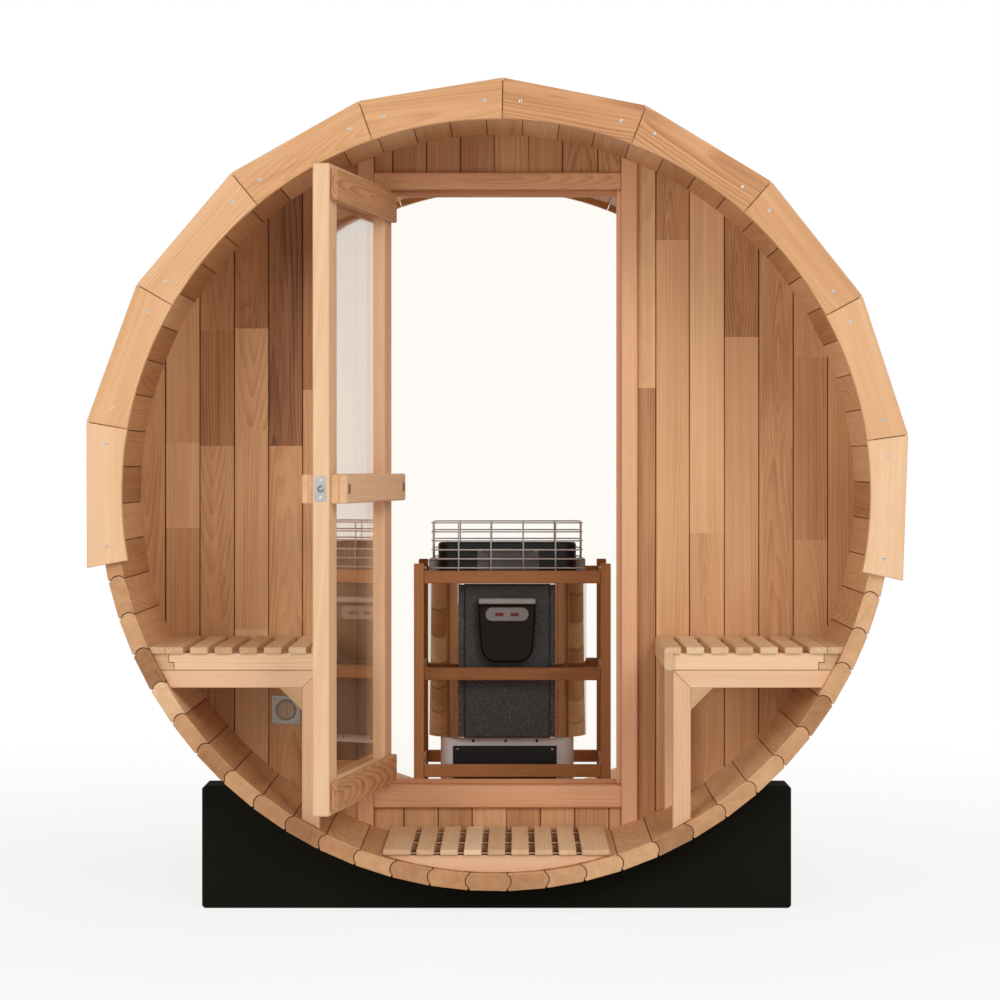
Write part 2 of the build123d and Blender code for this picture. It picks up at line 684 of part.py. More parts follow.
for side_name, side in (("left", -1), ("right", 1)):
    slat_depth = (BENCH_FRONT_SETBACK, BENCH_BACK)
    slat_up = (CLEAT_TOP, -BENCH_TOP)

    with BuildPart(barrel) as slats:
        for i in range(BENCH_SLAT_COUNT):
            near = BENCH_FIRST_SLAT + i * BENCH_SLAT_PITCH
            across = sorted((side * near, side * (near + BENCH_SLAT_WIDTH)))
            block(across, slat_depth, slat_up)
        back_edge = near + BENCH_SLAT_WIDTH + BENCH_BACK_GAP
        block(sorted((side * back_edge, side * BORE)), slat_depth, slat_up)
        chamfer(slats.faces().group_by(Axis.Z)[-1].edges(), SLAT_EASE)
        with BuildSketch(upright(BENCH_BACK)) as nosing:
            with BuildLine():
                Polyline(
                    (side * BENCH_EDGE, -BENCH_TOP),
                    (side * (BENCH_EDGE + NOSING_WIDTH), -BENCH_TOP),
                    (side * (BENCH_EDGE + NOSING_WIDTH), CLEAT_TOP),
                    (side * LEG_EDGE, CLEAT_TOP),
                    (side * LEG_EDGE, -BENCH_TOP - NOSING_HEIGHT),
                    (side * BENCH_EDGE, -BENCH_TOP - NOSING_HEIGHT),
                    close=True,
                )
            make_face()
            fillet(nosing.vertices().group_by(Axis.X)[0 if side > 0 else -1], NOSING_CORNER_RADIUS)
        extrude(amount=BENCH_BACK - BENCH_FRONT_SETBACK)
        trim_to_bore()
    save(slats, f"{side_name}_bench_slats")

    with BuildPart(barrel) as cleats:
        for depth in bench_depths(CLEAT_DEPTH):
            block(sorted((side * LEG_EDGE, side * BORE)), depth, (CLEAT_FOOT, CLEAT_TOP))
        trim_to_bore()
    save(cleats, f"{side_name}_bench_cleats")

    with BuildPart(barrel) as brackets:
        for depth in bench_depths(CLEAT_DEPTH):
            with BuildSketch(upright(depth[1])):
                beam_foot = CLEAT_FOOT - BENCH_BEAM_HEIGHT
                leg_back = LEG_EDGE + BENCH_LEG_WIDTH
                with BuildLine():
                    Polyline(
                        (side * LEG_EDGE, CLEAT_FOOT),
                        (side * BORE, CLEAT_FOOT),
                        (side * BORE, beam_foot),
                        (side * (leg_back + BENCH_GUSSET_SIZE), beam_foot),
                        (side * leg_back, beam_foot - BENCH_GUSSET_SIZE),
                        (side * leg_back, -BORE),
                        (side * LEG_EDGE, -BORE),
                        close=True,
                    )
                make_face()
            extrude(amount=CLEAT_DEPTH)
        trim_to_bore()
    save(brackets, f"{side_name}_bench_brackets")

# Duckboard on bearers cut to the bore

with BuildPart(barrel) as duckboard:
    duck_up = (DUCK_UNDER, -DUCK_TOP)
    duck_depth = (BENCH_FRONT_SETBACK, BENCH_BACK)
    for i in range(DUCK_SLAT_COUNT):
        centre = (i - (DUCK_SLAT_COUNT - 1) / 2) * DUCK_SLAT_PITCH
        block((centre - DUCK_SLAT_WIDTH / 2, centre + DUCK_SLAT_WIDTH / 2), duck_depth, duck_up)
    side_start = centre + DUCK_SLAT_WIDTH / 2 + DUCK_SIDE_GAP
    for side in (-1, 1):
        block(sorted((side * side_start, side * (side_start + DUCK_SIDE_WIDTH))), duck_depth, duck_up)
    chamfer(duckboard.faces().group_by(Axis.Z)[-1].edges(), SLAT_EASE)
    trim_to_bore()
save(duckboard, "duckboard_slats")

with BuildPart(barrel) as bearers:
    first = BENCH_RAIL_SETBACK
    spacing = (PORCH_DEPTH - 2 * first - DUCK_BEARER_DEPTH) / (DUCK_BEARER_COUNT - 1)
    for i in range(DUCK_BEARER_COUNT):
        start = first + i * spacing
        block((-BORE, BORE), (start, start + DUCK_BEARER_DEPTH), (-BORE, DUCK_UNDER))
    trim_to_bore()
save(bearers, "duckboard_bearers")

# Rear window: one round pane let into its own croze

with BuildPart() as window:
    with BuildSketch(upright(PANE_FRONT + PANE_THICKNESS)):
        Circle(WALL_RADIUS)
    extrude(amount=PANE_THICKNESS)
save(window, "rear_window")

# Heater: a rounded steel jacket with a front panel, on a base with feet

with BuildPart() as jacket:
    with BuildSketch(level(-HEATER_BOTTOM)):
        with Locations((HEATER_ACROSS, HEATER_MIDDLE)):
            RectangleRounded(HEATER_WIDTH, HEATER_DEPTH, HEATER_CORNER_RADIUS)
    extrude(amount=HEATER_BOTTOM - HEATER_TOP)
save(jacket, "heater_jacket")

with BuildPart(barrel) as panel:
    half = PANEL_WIDTH / 2
    block(
        (HEATER_ACROSS - half, HEATER_ACROSS + half),
        (HEATER_FRONT - PANEL_THICKNESS, HEATER_FRONT),
        (-HEATER_BOTTOM, -PANEL_TOP),
    )
    chamfer(panel.faces().sort_by(Axis.Y)[0].edges(), PANEL_EASE)
save(panel, "heater_front_panel")

with BuildPart() as control:
    with BuildSketch(upright(HEATER_FRONT - PANEL_THICKNESS)) as shield:
        half_top = CONTROL_WIDTH / 2
        half_foot = CONTROL_FOOT_WIDTH / 2
        with BuildLine():
            Polyline(
                (HEATER_ACROSS - half_top, -CONTROL_TOP),
                (HEATER_ACROSS + half_top, -CONTROL_TOP),
                (HEATER_ACROSS + half_top, -CONTROL_TOP - CONTROL_SHOULDER),
                (HEATER_ACROSS + half_foot, -CONTROL_TOP - CONTROL_HEIGHT),
                (HEATER_ACROSS - half_foot, -CONTROL_TOP - CONTROL_HEIGHT),
                (HEATER_ACROSS - half_top, -CONTROL_TOP - CONTROL_SHOULDER),
                close=True,
            )
        make_face()
        fillet(shield.vertices().sort_by(Axis.Y)[:-2], CONTROL_CORNER_RADIUS)
    extrude(amount=CONTROL_DEPTH)
    chamfer(control.faces().sort_by(Axis.Y)[0].edges(), CONTROL_EDGE)
save(control, "heater_control")

with BuildPart() as base:
    with BuildSketch(level(-HEATER_BOTTOM - HEATER_BASE_HEIGHT)):
        with Locations((HEATER_ACROSS, HEATER_MIDDLE)):
            RectangleRounded(HEATER_BASE_WIDTH, HEATER_BASE_DEPTH, HEATER_BASE_CORNER_RADIUS)
    extrude(amount=HEATER_BASE_HEIGHT)
    with BuildSketch(level(-BORE)):
        with Locations((HEATER_ACROSS, HEATER_MIDDLE)):
            foot_span = HEATER_BASE_WIDTH - 2 * HEATER_FOOT_INSET
            foot_depth = HEATER_BASE_DEPTH - 2 * HEATER_FOOT_INSET
            with GridLocations(foot_span, foot_depth, 2, 2):
                Circle(HEATER_FOOT_RADIUS)
    extrude(amount=HEATER_FOOT_HEIGHT)
    trim_to_bore()
save(base, "heater_base")

# Stone tray and the wire cage round it

with BuildPart() as tray:
    with BuildSketch(level(-HEATER_TOP)):
        with Locations((HEATER_ACROSS, HEATER_MIDDLE)):
            RectangleRounded(TRAY_WIDTH, TRAY_DEPTH, TRAY_CORNER_RADIUS)
    extrude(amount=TRAY_HEIGHT)
    offset(amount=-HEATER_SHEET_THICKNESS, openings=tray.faces().sort_by(Axis.Z)[-1])
save(tray, "heater_tray")

with BuildPart(barrel) as cage:
    cage_top = CAGE_HEIGHT - HEATER_TOP
    for i in range(CAGE_LOOP_COUNT):
        with BuildSketch(level(cage_top - CAGE_WIRE_WIDTH - i * CAGE_LOOP_PITCH)):
            with Locations((HEATER_ACROSS, HEATER_MIDDLE)):
                RectangleRounded(CAGE_WIDTH, CAGE_DEPTH, CAGE_CORNER_RADIUS)
                RectangleRounded(
                    CAGE_WIDTH - 2 * CAGE_WIRE_WIDTH,
                    CAGE_DEPTH - 2 * CAGE_WIRE_WIDTH,
                    CAGE_CORNER_RADIUS - CAGE_WIRE_WIDTH,
                    mode=Mode.SUBTRACT,
                )
        extrude(amount=CAGE_WIRE_WIDTH)
    with Locations((HEATER_ACROSS, HEATER_MIDDLE, (cage_top - HEATER_TOP) / 2)):
        with GridLocations(CAGE_WIRE_PITCH, CAGE_DEPTH - CAGE_WIRE_WIDTH, CAGE_LONG_COUNT, 2):
            Box(CAGE_WIRE_WIDTH, CAGE_WIRE_WIDTH, CAGE_HEIGHT)
        with GridLocations(CAGE_WIDTH - CAGE_WIRE_WIDTH, CAGE_WIRE_PITCH, 2, CAGE_SHORT_COUNT):
            Box(CAGE_WIRE_WIDTH, CAGE_WIRE_WIDTH, CAGE_HEIGHT)
save(cage, "heater_cage")

# Guard: a wooden fence round the heater, its posts standing on the staves

with BuildPart(barrel) as guard:
    post_span = GUARD_WIDTH - GUARD_POST_WIDTH
    post_depth = GUARD_DEPTH - GUARD_POST_WIDTH
    guard_middle = GUARD_FRONT + GUARD_DEPTH / 2
    with Locations((GUARD_ACROSS, guard_middle, -(GUARD_TOP + BORE) / 2)):
        with GridLocations(post_span, post_depth, 2, 2):
            Box(GUARD_POST_WIDTH, GUARD_POST_WIDTH, BORE - GUARD_TOP)
    for i in range(GUARD_RAIL_COUNT):
        height = -GUARD_TOP - GUARD_RAIL_DROP - GUARD_RAIL_HEIGHT / 2 - i * GUARD_RAIL_PITCH
        with Locations((GUARD_ACROSS, guard_middle, height)):
            with GridLocations(0, post_depth, 1, 2):
                Box(post_span, GUARD_RAIL_THICKNESS, GUARD_RAIL_HEIGHT)
            with GridLocations(post_span, 0, 2, 1):
                Box(GUARD_RAIL_THICKNESS, post_depth, GUARD_RAIL_HEIGHT)
    trim_to_bore()
save(guard, "heater_guard")
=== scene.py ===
import json
import math
import random

import bpy
from mathutils import Matrix, Vector


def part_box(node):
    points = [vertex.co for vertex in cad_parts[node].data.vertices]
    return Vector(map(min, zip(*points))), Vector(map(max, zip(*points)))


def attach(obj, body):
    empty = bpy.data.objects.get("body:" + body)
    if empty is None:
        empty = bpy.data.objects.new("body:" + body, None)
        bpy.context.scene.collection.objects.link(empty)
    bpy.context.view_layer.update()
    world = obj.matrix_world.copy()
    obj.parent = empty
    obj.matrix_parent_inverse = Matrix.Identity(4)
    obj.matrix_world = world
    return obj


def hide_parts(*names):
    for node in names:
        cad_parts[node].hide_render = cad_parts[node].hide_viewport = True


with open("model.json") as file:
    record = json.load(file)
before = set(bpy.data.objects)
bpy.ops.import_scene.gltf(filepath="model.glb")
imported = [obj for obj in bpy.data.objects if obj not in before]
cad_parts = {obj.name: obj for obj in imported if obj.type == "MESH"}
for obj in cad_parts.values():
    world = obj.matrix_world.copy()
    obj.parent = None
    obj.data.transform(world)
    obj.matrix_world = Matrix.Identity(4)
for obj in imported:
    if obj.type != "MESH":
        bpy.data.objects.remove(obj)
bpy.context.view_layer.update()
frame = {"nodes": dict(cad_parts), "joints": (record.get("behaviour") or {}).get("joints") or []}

nodes = frame["nodes"]
MM = 0.001

# Where the barrel's axis and its front lie, in metres
window_low, window_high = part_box("rear_window")
AXIS = (window_low.z + window_high.z) / 2
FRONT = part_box("staves_bottom")[0].y

# Angles in degrees, and counts
OPEN = 100.8
STAVES = 64
STAVE_TURN = -1.2
FACETS = 10
FACET_ANGLE = 20.25
ROOF_TURN = -0.9

# Sizes in millimetres: across, back from the barrel's front, and up from its axis
OUTER = 914.4
BORE = 876.4
LENGTH = 1524
ROOF_UNDER = 920.4
ROOF_OVER = 939.4
FASCIA_BORE = 859.4
FASCIA = 19
WALL_FRONT, WALL_BACK = 409, 447
DOORWAY, CASING = 304, 344  # half their widths
HEAD, HEADER_TOP = 743, 783
SILL, SILL_FOOT = -722, -776
PORCH = 12, 400  # where the benches and the duckboard start and end
BRACKETS = 21, 350  # where the two brackets of a bench start
TIMBER = 38
SLAT = 40

BARREL = Matrix.Translation((0, FRONT, AXIS))
PIN = Vector(frame["joints"][0]["pos_m"])
DOOR = Matrix.Translation(PIN) @ Matrix.Rotation(-math.radians(OPEN), 4, "Z")


def linear(*rgb):
    """Colour as the eye reads it, 0 to 255, to the renderer's own."""
    out = []
    for c in rgb:
        c /= 255
        out.append(c / 12.92 if c <= 0.04045 else ((c + 0.055) / 1.055) ** 2.4)
    return (*out, 1)


# Materials


class Graph:
    """Short way to write a material's nodes."""

    def __init__(self, name):
        self.material = bpy.data.materials.new(name)
        self.material.use_nodes = True
        self.tree = self.material.node_tree
        self.tree.nodes.clear()
        self.out = self.node("OutputMaterial")

    def node(self, kind, **settings):
        made = self.tree.nodes.new("ShaderNode" + kind)
        for key, value in settings.items():
            setattr(made, key, value)
        return made

    def feed(self, socket, value):
        if isinstance(value, bpy.types.NodeSocket):
            self.tree.links.new(value, socket)
        else:
            socket.default_value = value

    def math(self, operation, a, b=0.0, c=0.0):
        made = self.node("Math", operation=operation)
        for socket, value in zip(made.inputs, (a, b, c)):
            self.feed(socket, value)
        return made.outputs[0]

    def vector(self, operation, a, b=(0, 0, 0)):
        made = self.node("VectorMath", operation=operation)
        self.feed(made.inputs[0], a)
        self.feed(made.inputs[1], b)
        return made.outputs["Value" if operation == "LENGTH" else "Vector"]

    def noise(self, place, scale=1.0, detail=2.0, rough=0.5):
        made = self.node("TexNoise")
        self.feed(made.inputs["Vector"], place)
        made.inputs["Scale"].default_value = scale
        made.inputs["Detail"].default_value = detail
        made.inputs["Roughness"].default_value = rough
        return made.outputs["Fac"]

    def spread(self, value, low, high, to_low, to_high):
        made = self.node("MapRange")
        for socket, v in zip(made.inputs, (value, low, high, to_low, to_high)):
            self.feed(socket, v)
        return made.outputs[0]

    def ramp(self, value, stops):
        made = self.node("ValToRGB")
        band = made.color_ramp
        while len(band.elements) < len(stops):
            band.elements.new(0.5)
        for element, (place, colour) in zip(band.elements, stops):
            element.position = place
            element.color = colour
        self.feed(made.inputs[0], value)
        return made.outputs[0]

    def bump(self, height, strength, distance):
        made = self.node("Bump")
        made.inputs["Strength"].default_value = strength
        made.inputs["Distance"].default_value = distance
        self.feed(made.inputs["Height"], height)
        return made.outputs[0]

    def surface(self, **sockets):
        shader = self.node("BsdfPrincipled")
        for key, value in sockets.items():
            self.feed(shader.inputs[key.replace("_", " ")], value)
        self.tree.links.new(shader.outputs[0], self.out.inputs[0])
        return shader


def grey(value):
    return (value, value, value, 1)


RING_PITCH = 0.006


def wood(name, colours, ring_share=0.13):
    """Timber that reads each board's own grain axes and tone from its mesh; colours run from pale to dark."""
    g = Graph(name)
    place = g.node("Attribute", attribute_name="grain").outputs["Vector"]
    tone = g.node("Attribute", attribute_name="tone").outputs["Fac"]
    wander = g.noise(g.vector("MULTIPLY", place, (1.3, 8, 8)), detail=2)
    across = g.vector("LENGTH", g.vector("MULTIPLY", place, (0, 1, 1)))
    rings = g.math("MULTIPLY_ADD", wander, 0.034, across)
    uneven = g.noise(g.vector("MULTIPLY", place, (0.5, 26, 26)), detail=1)
    rings = g.math("MULTIPLY_ADD", uneven, 0.014, rings)
    rings = g.math("FRACT", g.math("DIVIDE", rings, RING_PITCH))
    early_to_late = ((0, 0.0), (0.35, 0.15), (0.82, 0.9), (0.9, 1.0), (1, 0.0))
    rings = g.ramp(rings, [(at, grey(value)) for at, value in early_to_late])
    clear = g.noise(g.vector("MULTIPLY", place, (1.1, 22, 22)), detail=2)
    rings = g.math("MULTIPLY", rings, g.spread(clear, 0.35, 0.62, 0.25, 1.25))
    fibre = g.noise(g.vector("MULTIPLY", place, (7, 330, 330)), detail=3, rough=0.6)
    streak = g.noise(g.vector("MULTIPLY", place, (0.9, 70, 70)), detail=3, rough=0.6)
    blotch = g.noise(g.vector("MULTIPLY", place, (2.0, 10, 10)), detail=2)
    shade = g.math("MULTIPLY_ADD", rings, ring_share, g.math("ADD", tone, -0.42))
    shade = g.math("MULTIPLY_ADD", blotch, 0.3, shade)
    shade = g.math("MULTIPLY_ADD", streak, 0.34, shade)
    shade = g.math("MULTIPLY_ADD", fibre, 0.14, shade)
    count = len(colours) - 1
    colour = g.ramp(shade, [(i / count, linear(*c)) for i, c in enumerate(colours)])
    height = g.math("MULTIPLY_ADD", rings, 0.3, fibre)
    g.surface(Base_Color=colour, Roughness=g.spread(fibre, 0.3, 0.7, 0.5, 0.68), Specular_IOR_Level=0.35,
              Normal=g.bump(height, 0.3, 0.0005))
    return g.material


# Colours as the eye reads them, from pale to dark
CEDAR = ((244, 210, 173), (235, 191, 149), (219, 167, 119), (191, 136, 92), (150, 98, 62))
PALE_CEDAR = ((246, 216, 182), (239, 202, 164), (227, 183, 143), (207, 156, 116), (172, 118, 80))
STAVE_CEDAR = ((236, 198, 156), (218, 172, 128), (194, 144, 101), (161, 112, 74), (102, 65, 40))
WALL_CEDAR = ((242, 204, 160), (228, 182, 136), (208, 157, 112), (172, 118, 78), (112, 70, 43))
CASING_CEDAR = ((246, 206, 168), (236, 188, 148), (222, 168, 127), (194, 136, 96), (154, 98, 66))
BOARD_CEDAR = ((224, 176, 128), (206, 154, 108), (180, 128, 86), (150, 100, 64), (112, 70, 42))
SLAT_CEDAR = ((240, 212, 176), (228, 194, 154), (210, 172, 132), (184, 144, 104), (140, 102, 70))
ROSY_CEDAR = ((248, 216, 185), (240, 201, 168), (230, 184, 147), (209, 158, 121), (172, 120, 84))
GUARD_TIMBER = ((212, 158, 108), (198, 142, 92), (180, 124, 78), (156, 104, 62), (122, 80, 48))
PEG_TIMBER = ((204, 150, 108), (186, 132, 90), (166, 112, 74), (142, 92, 60), (112, 70, 44))

FASCIA_WOOD = wood("fascia_cedar", CEDAR, 0.09)
STREAKED_WOOD = wood("streaked_cedar", CEDAR, 0.24)
ROOF_WOOD = wood("roof_cedar", CEDAR)
STAVE_WOOD = wood("stave_cedar", STAVE_CEDAR)
STAVE_END_WOOD = wood("stave_end_cedar", STAVE_CEDAR, 0.035)
WALL_WOOD = wood("wall_cedar", WALL_CEDAR)
CASING_WOOD = wood("casing_cedar", CASING_CEDAR)
DOOR_WOOD = wood("door_cedar", PALE_CEDAR, 0.06)
BOARD_WOOD = wood("board_cedar", BOARD_CEDAR, 0.34)
BENCH_WOOD = wood("bench_cedar", PALE_CEDAR)
SLAT_WOOD = wood("slat_cedar", SLAT_CEDAR)
ROSY_WOOD = wood("bracket_cedar", ROSY_CEDAR, 0.08)
GUARD_WOOD = wood("guard_wood", GUARD_TIMBER)
PEG_WOOD = wood("peg_wood", PEG_TIMBER)


def metal(name, colour, rough, scratch=0.1, stretch=(40, 40, 40)):
    """Bare metal with fine scratches, drawn out by the stretch."""
    g = Graph(name)
    place = g.node("TexCoord").outputs["Object"]
    lines = g.noise(g.vector("MULTIPLY", place, stretch), scale=8, detail=3, rough=0.6)
    smear = g.noise(place, scale=14, detail=2)
    shade = g.math("MULTIPLY_ADD", smear, 0.5, g.math("MULTIPLY", lines, 0.5))
    dull = tuple(c * 0.78 for c in colour[:3]) + (1,)
    g.surface(Base_Color=g.ramp(shade, ((0.3, dull), (0.7, colour))), Metallic=1.0,
              Roughness=g.spread(shade, 0.3, 0.7, max(rough - scratch, 0.03), rough + scratch),
              Normal=g.bump(lines, 0.12, 0.0002))
    return g.material


SCREW = metal("screw_steel", linear(205, 203, 198), 0.3)
HOOP = metal("hoop_steel", linear(190, 190, 190), 0.32, stretch=(4, 60, 4))
PLATE = metal("vent_steel", linear(152, 146, 136), 0.36)
LATCH = metal("latch_steel", linear(140, 138, 134), 0.3)
JACKET = metal("jacket_steel", linear(216, 211, 205), 0.05, 0.02, (60, 60, 3))


def coated(name, low, high, rough, grain=900, flecks=None, bump=0.15, shine=0.5):
    """Painted or enamelled skin with a fine orange peel, and pale flecks where it has them."""
    g = Graph(name)
    place = g.node("TexCoord").outputs["Object"]
    fine = g.noise(place, scale=grain, detail=2, rough=0.6)
    wide = g.noise(place, scale=9, detail=3)
    shade = g.math("MULTIPLY_ADD", wide, 0.6, g.math("MULTIPLY", fine, 0.4))
    colour = g.ramp(shade, ((0.3, low), (0.7, high)))
    if flecks:
        dots = g.ramp(g.noise(place, scale=520, detail=1), ((0.62, grey(0)), (0.7, grey(1))))
        mixed = g.node("Mix", data_type="RGBA")
        g.feed(mixed.inputs["Factor"], dots)
        g.feed(mixed.inputs["A"], colour)
        g.feed(mixed.inputs["B"], flecks)
        colour = mixed.outputs["Result"]
    g.surface(Base_Color=colour, Roughness=g.spread(shade, 0.3, 0.7, rough - 0.08, rough + 0.1),
              Normal=g.bump(fine, bump, 0.0004), Specular_IOR_Level=shine)
    return g.material


CRADLE = coated("cradle_black", linear(19, 18, 13), linear(25, 24, 18), 0.75, 320, bump=0.3, shine=0.06)
PANEL = coated("panel_dark", linear(50, 50, 52), linear(70, 70, 72), 0.5,
               flecks=linear(158, 160, 164), shine=0.3)
CONTROL = coated("control_black", linear(20, 14, 10), linear(32, 23, 18), 0.34, 1400, bump=0.04, shine=0.14)
ENAMEL = coated("tray_black", linear(18, 18, 19), linear(30, 30, 32), 0.42, 500, shine=0.3)
TRIM = coated("trim_grey", linear(156, 156, 156), linear(184, 183, 182), 0.35, 900, bump=0.05)
DISPLAY = coated("display_grey", linear(122, 121, 121), linear(150, 149, 148), 0.3, 900, bump=0.04)
READOUT = coated("readout_red", linear(96, 18, 16), linear(140, 30, 24), 0.25, 1200, bump=0.03, shine=0.3)
WIRE = coated("cage_wire", linear(206, 206, 207), linear(238, 238, 239), 0.28, 900, bump=0.02)
BASE = coated("base_silver", linear(200, 206, 212), linear(242, 246, 250), 0.42, 380, bump=0.9)
PLATE_GREY = coated("plate_grey", linear(88, 88, 90), linear(116, 116, 118), 0.5, 700, shine=0.3)


def glass(name, tint, smear, head_on, rise):
    """Clear sheet: it mirrors a share of the light head-on, and more at a slant, by the power given."""
    g = Graph(name)
    place = g.node("TexCoord").outputs["Object"]
    marks = g.noise(place, scale=5, detail=4, rough=0.6)
    gloss = g.surface(Base_Color=grey(0.96), Metallic=1.0,
                      Roughness=g.spread(marks, 0.3, 0.8, 0.015, 0.015 + smear))
    clear = g.node("BsdfTransparent")
    clear.inputs[0].default_value = tint
    slant = g.node("LayerWeight").outputs["Facing"]
    mirrored_share = g.math("MULTIPLY_ADD", g.math("POWER", slant, rise), 1 - head_on, head_on)
    mixed = g.node("MixShader")
    g.feed(mixed.inputs[0], mirrored_share)
    g.tree.links.new(clear.outputs[0], mixed.inputs[1])
    g.tree.links.new(gloss.outputs[0], mixed.inputs[2])
    g.tree.links.new(mixed.outputs[0], g.out.inputs[0])
    return g.material


DOOR_GLASS = glass("door_glass", (0.99, 0.975, 0.95, 1), 0.02, 0.12, 3.0)
WINDOW_GLASS = glass("window_clear", (0.998, 0.985, 0.96, 1), 0.02, 0.004, 5.0)

# Pieces

# Where the tree's heart lies from a board, to the side and in depth, and how far it climbs along the board
FLAT_SAWN = (0, 0.02), (0.015, 0.05), (0.03, 0.09)
QUARTER_SAWN = (0.06, 0.2), (0.03, 0.12), (0, 0.02)
END_GRAIN_SCALE = 0.6


class Piece:
    """One object made up of boards and fittings, each with its own grain and tone.

    flat is the share of its boards that are sawn flat.
    """

    def __init__(self, name, seed, flat=0.3):
        self.name = name
        self.luck = random.Random(seed)
        self.flat = flat
        self.points, self.faces, self.smooth = [], [], []
        self.grain, self.tones = [], []
        self.materials, self.marks = [], []

    def solid(self, points, faces, axes, material, tone=0.5, smooth=False, close=0, caps=None):
        """Add one closed form; its axes run along, across and through the grain.

        Its last points, as many as close says, show wider rings, and caps finishes its first two faces.
        """
        first = len(self.points)
        centre = sum((Vector(p) for p in points), Vector()) / len(points)
        luck = self.luck
        sideways, deep, rise = FLAT_SAWN if luck.random() < self.flat else QUARTER_SAWN
        shift = Vector((luck.uniform(0, 30), luck.choice((-1, 1)) * luck.uniform(*sideways),
                        luck.choice((-1, 1)) * luck.uniform(*deep)))
        lean = luck.uniform(-0.02, 0.02)
        climb = luck.choice((-1, 1)) * luck.uniform(*rise)
        if not isinstance(tone, list):
            tone = [tone] * len(points)
        for i, (p, shade) in enumerate(zip(points, tone)):
            away = (Vector(p) - centre) * MM
            if i >= len(points) - close:
                away *= END_GRAIN_SCALE
            along, across, through = (away.dot(Vector(axis)) for axis in axes)
            self.points.append(Vector(p) * MM)
            self.grain.append(shift + Vector((along, across + lean * along, through + climb * along)))
            self.tones.append(shade)
        for number, face in enumerate(faces):
            skin = caps if caps and number < 2 else material
            if skin not in self.materials:
                self.materials.append(skin)
            self.faces.append([first + i for i in face])
            self.marks.append(self.materials.index(skin))
            self.smooth.append(smooth)

    def make(self, place, body, replaces=()):
        mesh = bpy.data.meshes.new(self.name)
        mesh.from_pydata([place @ p for p in self.points], [], self.faces)
        for material in self.materials:
            mesh.materials.append(material)
        mesh.polygons.foreach_set("material_index", self.marks)
        mesh.polygons.foreach_set("use_smooth", self.smooth)
        grain = mesh.attributes.new("grain", "FLOAT_VECTOR", "POINT")
        grain.data.foreach_set("vector", [c for v in self.grain for c in v])
        tones = mesh.attributes.new("tone", "FLOAT", "POINT")
        tones.data.foreach_set("value", self.tones)
        mesh.validate()
        mesh.update()
        made = bpy.data.objects.new(self.name, mesh)
        bpy.context.scene.collection.objects.link(made)
        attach(made, body)
        if replaces:
            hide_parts(*replaces)

    def tone(self, low=0.25, high=0.75):
        return self.luck.uniform(low, high)


END = 0.14  # sawn ends soak up more and read darker
X, Y, Z = (1, 0, 0), (0, 1, 0), (0, 0, 1)
ALONG_X, ALONG_Y, ALONG_Z = (X, Z, Y), (Y, X, Z), (Z, X, Y)


def bar(piece, across, back, up, axes, material, ease=2.0, tone=None):
    """Square-cut board with eased edges."""
    limits = [sorted(across), sorted(back), sorted(up)]
    along = [abs(c) for c in axes[0]].index(max(abs(c) for c in axes[0]))
    order = [axis for axis in range(3) if axis != along] + [along]
    ease = min(ease, min(b - a for a, b in limits) * 0.45)
    points, index = [], {}
    for full in order:
        for corner in range(8):
            point = []
            for axis in range(3):
                high = corner >> axis & 1
                off = 0 if axis == full else ease
                point.append(limits[axis][1] - off if high else limits[axis][0] + off)
            index[full, corner] = len(points)
            points.append(point)
    faces = []
    for full in range(3):
        a, b = [axis for axis in range(3) if axis != full]
        for high in (0, 1):
            base = high << full
            loop = [base, base | 1 << a, base | 1 << a | 1 << b, base | 1 << b]
            faces.append([index[full, c] for c in loop])
        for ends in range(4):
            base = (ends & 1) << a | (ends >> 1) << b
            top = base | 1 << full
            faces.append([index[a, base], index[a, top], index[b, top], index[b, base]])
    for corner in range(8):
        faces.append([index[full, corner] for full in range(3)])
    tone = piece.tone() if tone is None else tone
    piece.solid(points, outward(points, faces), axes, material, [tone] * 16 + [tone + END] * 8, close=8)


def outward(points, faces):
    """Turn the faces of a convex form so that they look outwards."""
    centre = sum((Vector(p) for p in points), Vector()) / len(points)
    out = []
    for face in faces:
        corners = [Vector(points[i]) for i in face]
        normal = (corners[1] - corners[0]).cross(corners[2] - corners[0])
        middle = sum(corners, Vector()) / len(corners)
        out.append(face if normal.dot(middle - centre) > 0 else face[::-1])
    return out


def turned(points, degrees):
    """Points of a section turned about the barrel's axis, counter-clockwise from the front."""
    c, s = math.cos(math.radians(degrees)), math.sin(math.radians(degrees))
    return [(x * c - h * s, x * s + h * c) for x, h in points]


def section_axes(degrees):
    """Ways along the barrel's round and out from its axis, for a section turned by the angle."""
    (ux, uh), (vx, vh) = turned([(1, 0), (0, 1)], degrees)
    return (ux, 0, uh), (vx, 0, vh)


def circle(count):
    """Points of a round of radius one."""
    return [(math.cos(2 * math.pi * i / count), math.sin(2 * math.pi * i / count)) for i in range(count)]


def inset(outline, amount):
    """Outline moved inwards by an amount; it runs counter-clockwise."""
    out = []
    count = len(outline)
    for i, here in enumerate(outline):
        before, after = outline[i - 1], outline[(i + 1) % count]
        one = Vector((here[0] - before[0], here[1] - before[1])).normalized()
        two = Vector((after[0] - here[0], after[1] - here[1])).normalized()
        normal = Vector((-one.y - two.y, one.x + two.x))
        if normal.length < 1e-6:
            normal = Vector((-one.y, one.x))
        normal.normalize()
        reach = amount / max(0.35, normal.dot(Vector((-one.y, one.x))))
        out.append((here[0] + normal.x * reach, here[1] + normal.y * reach))
    return out


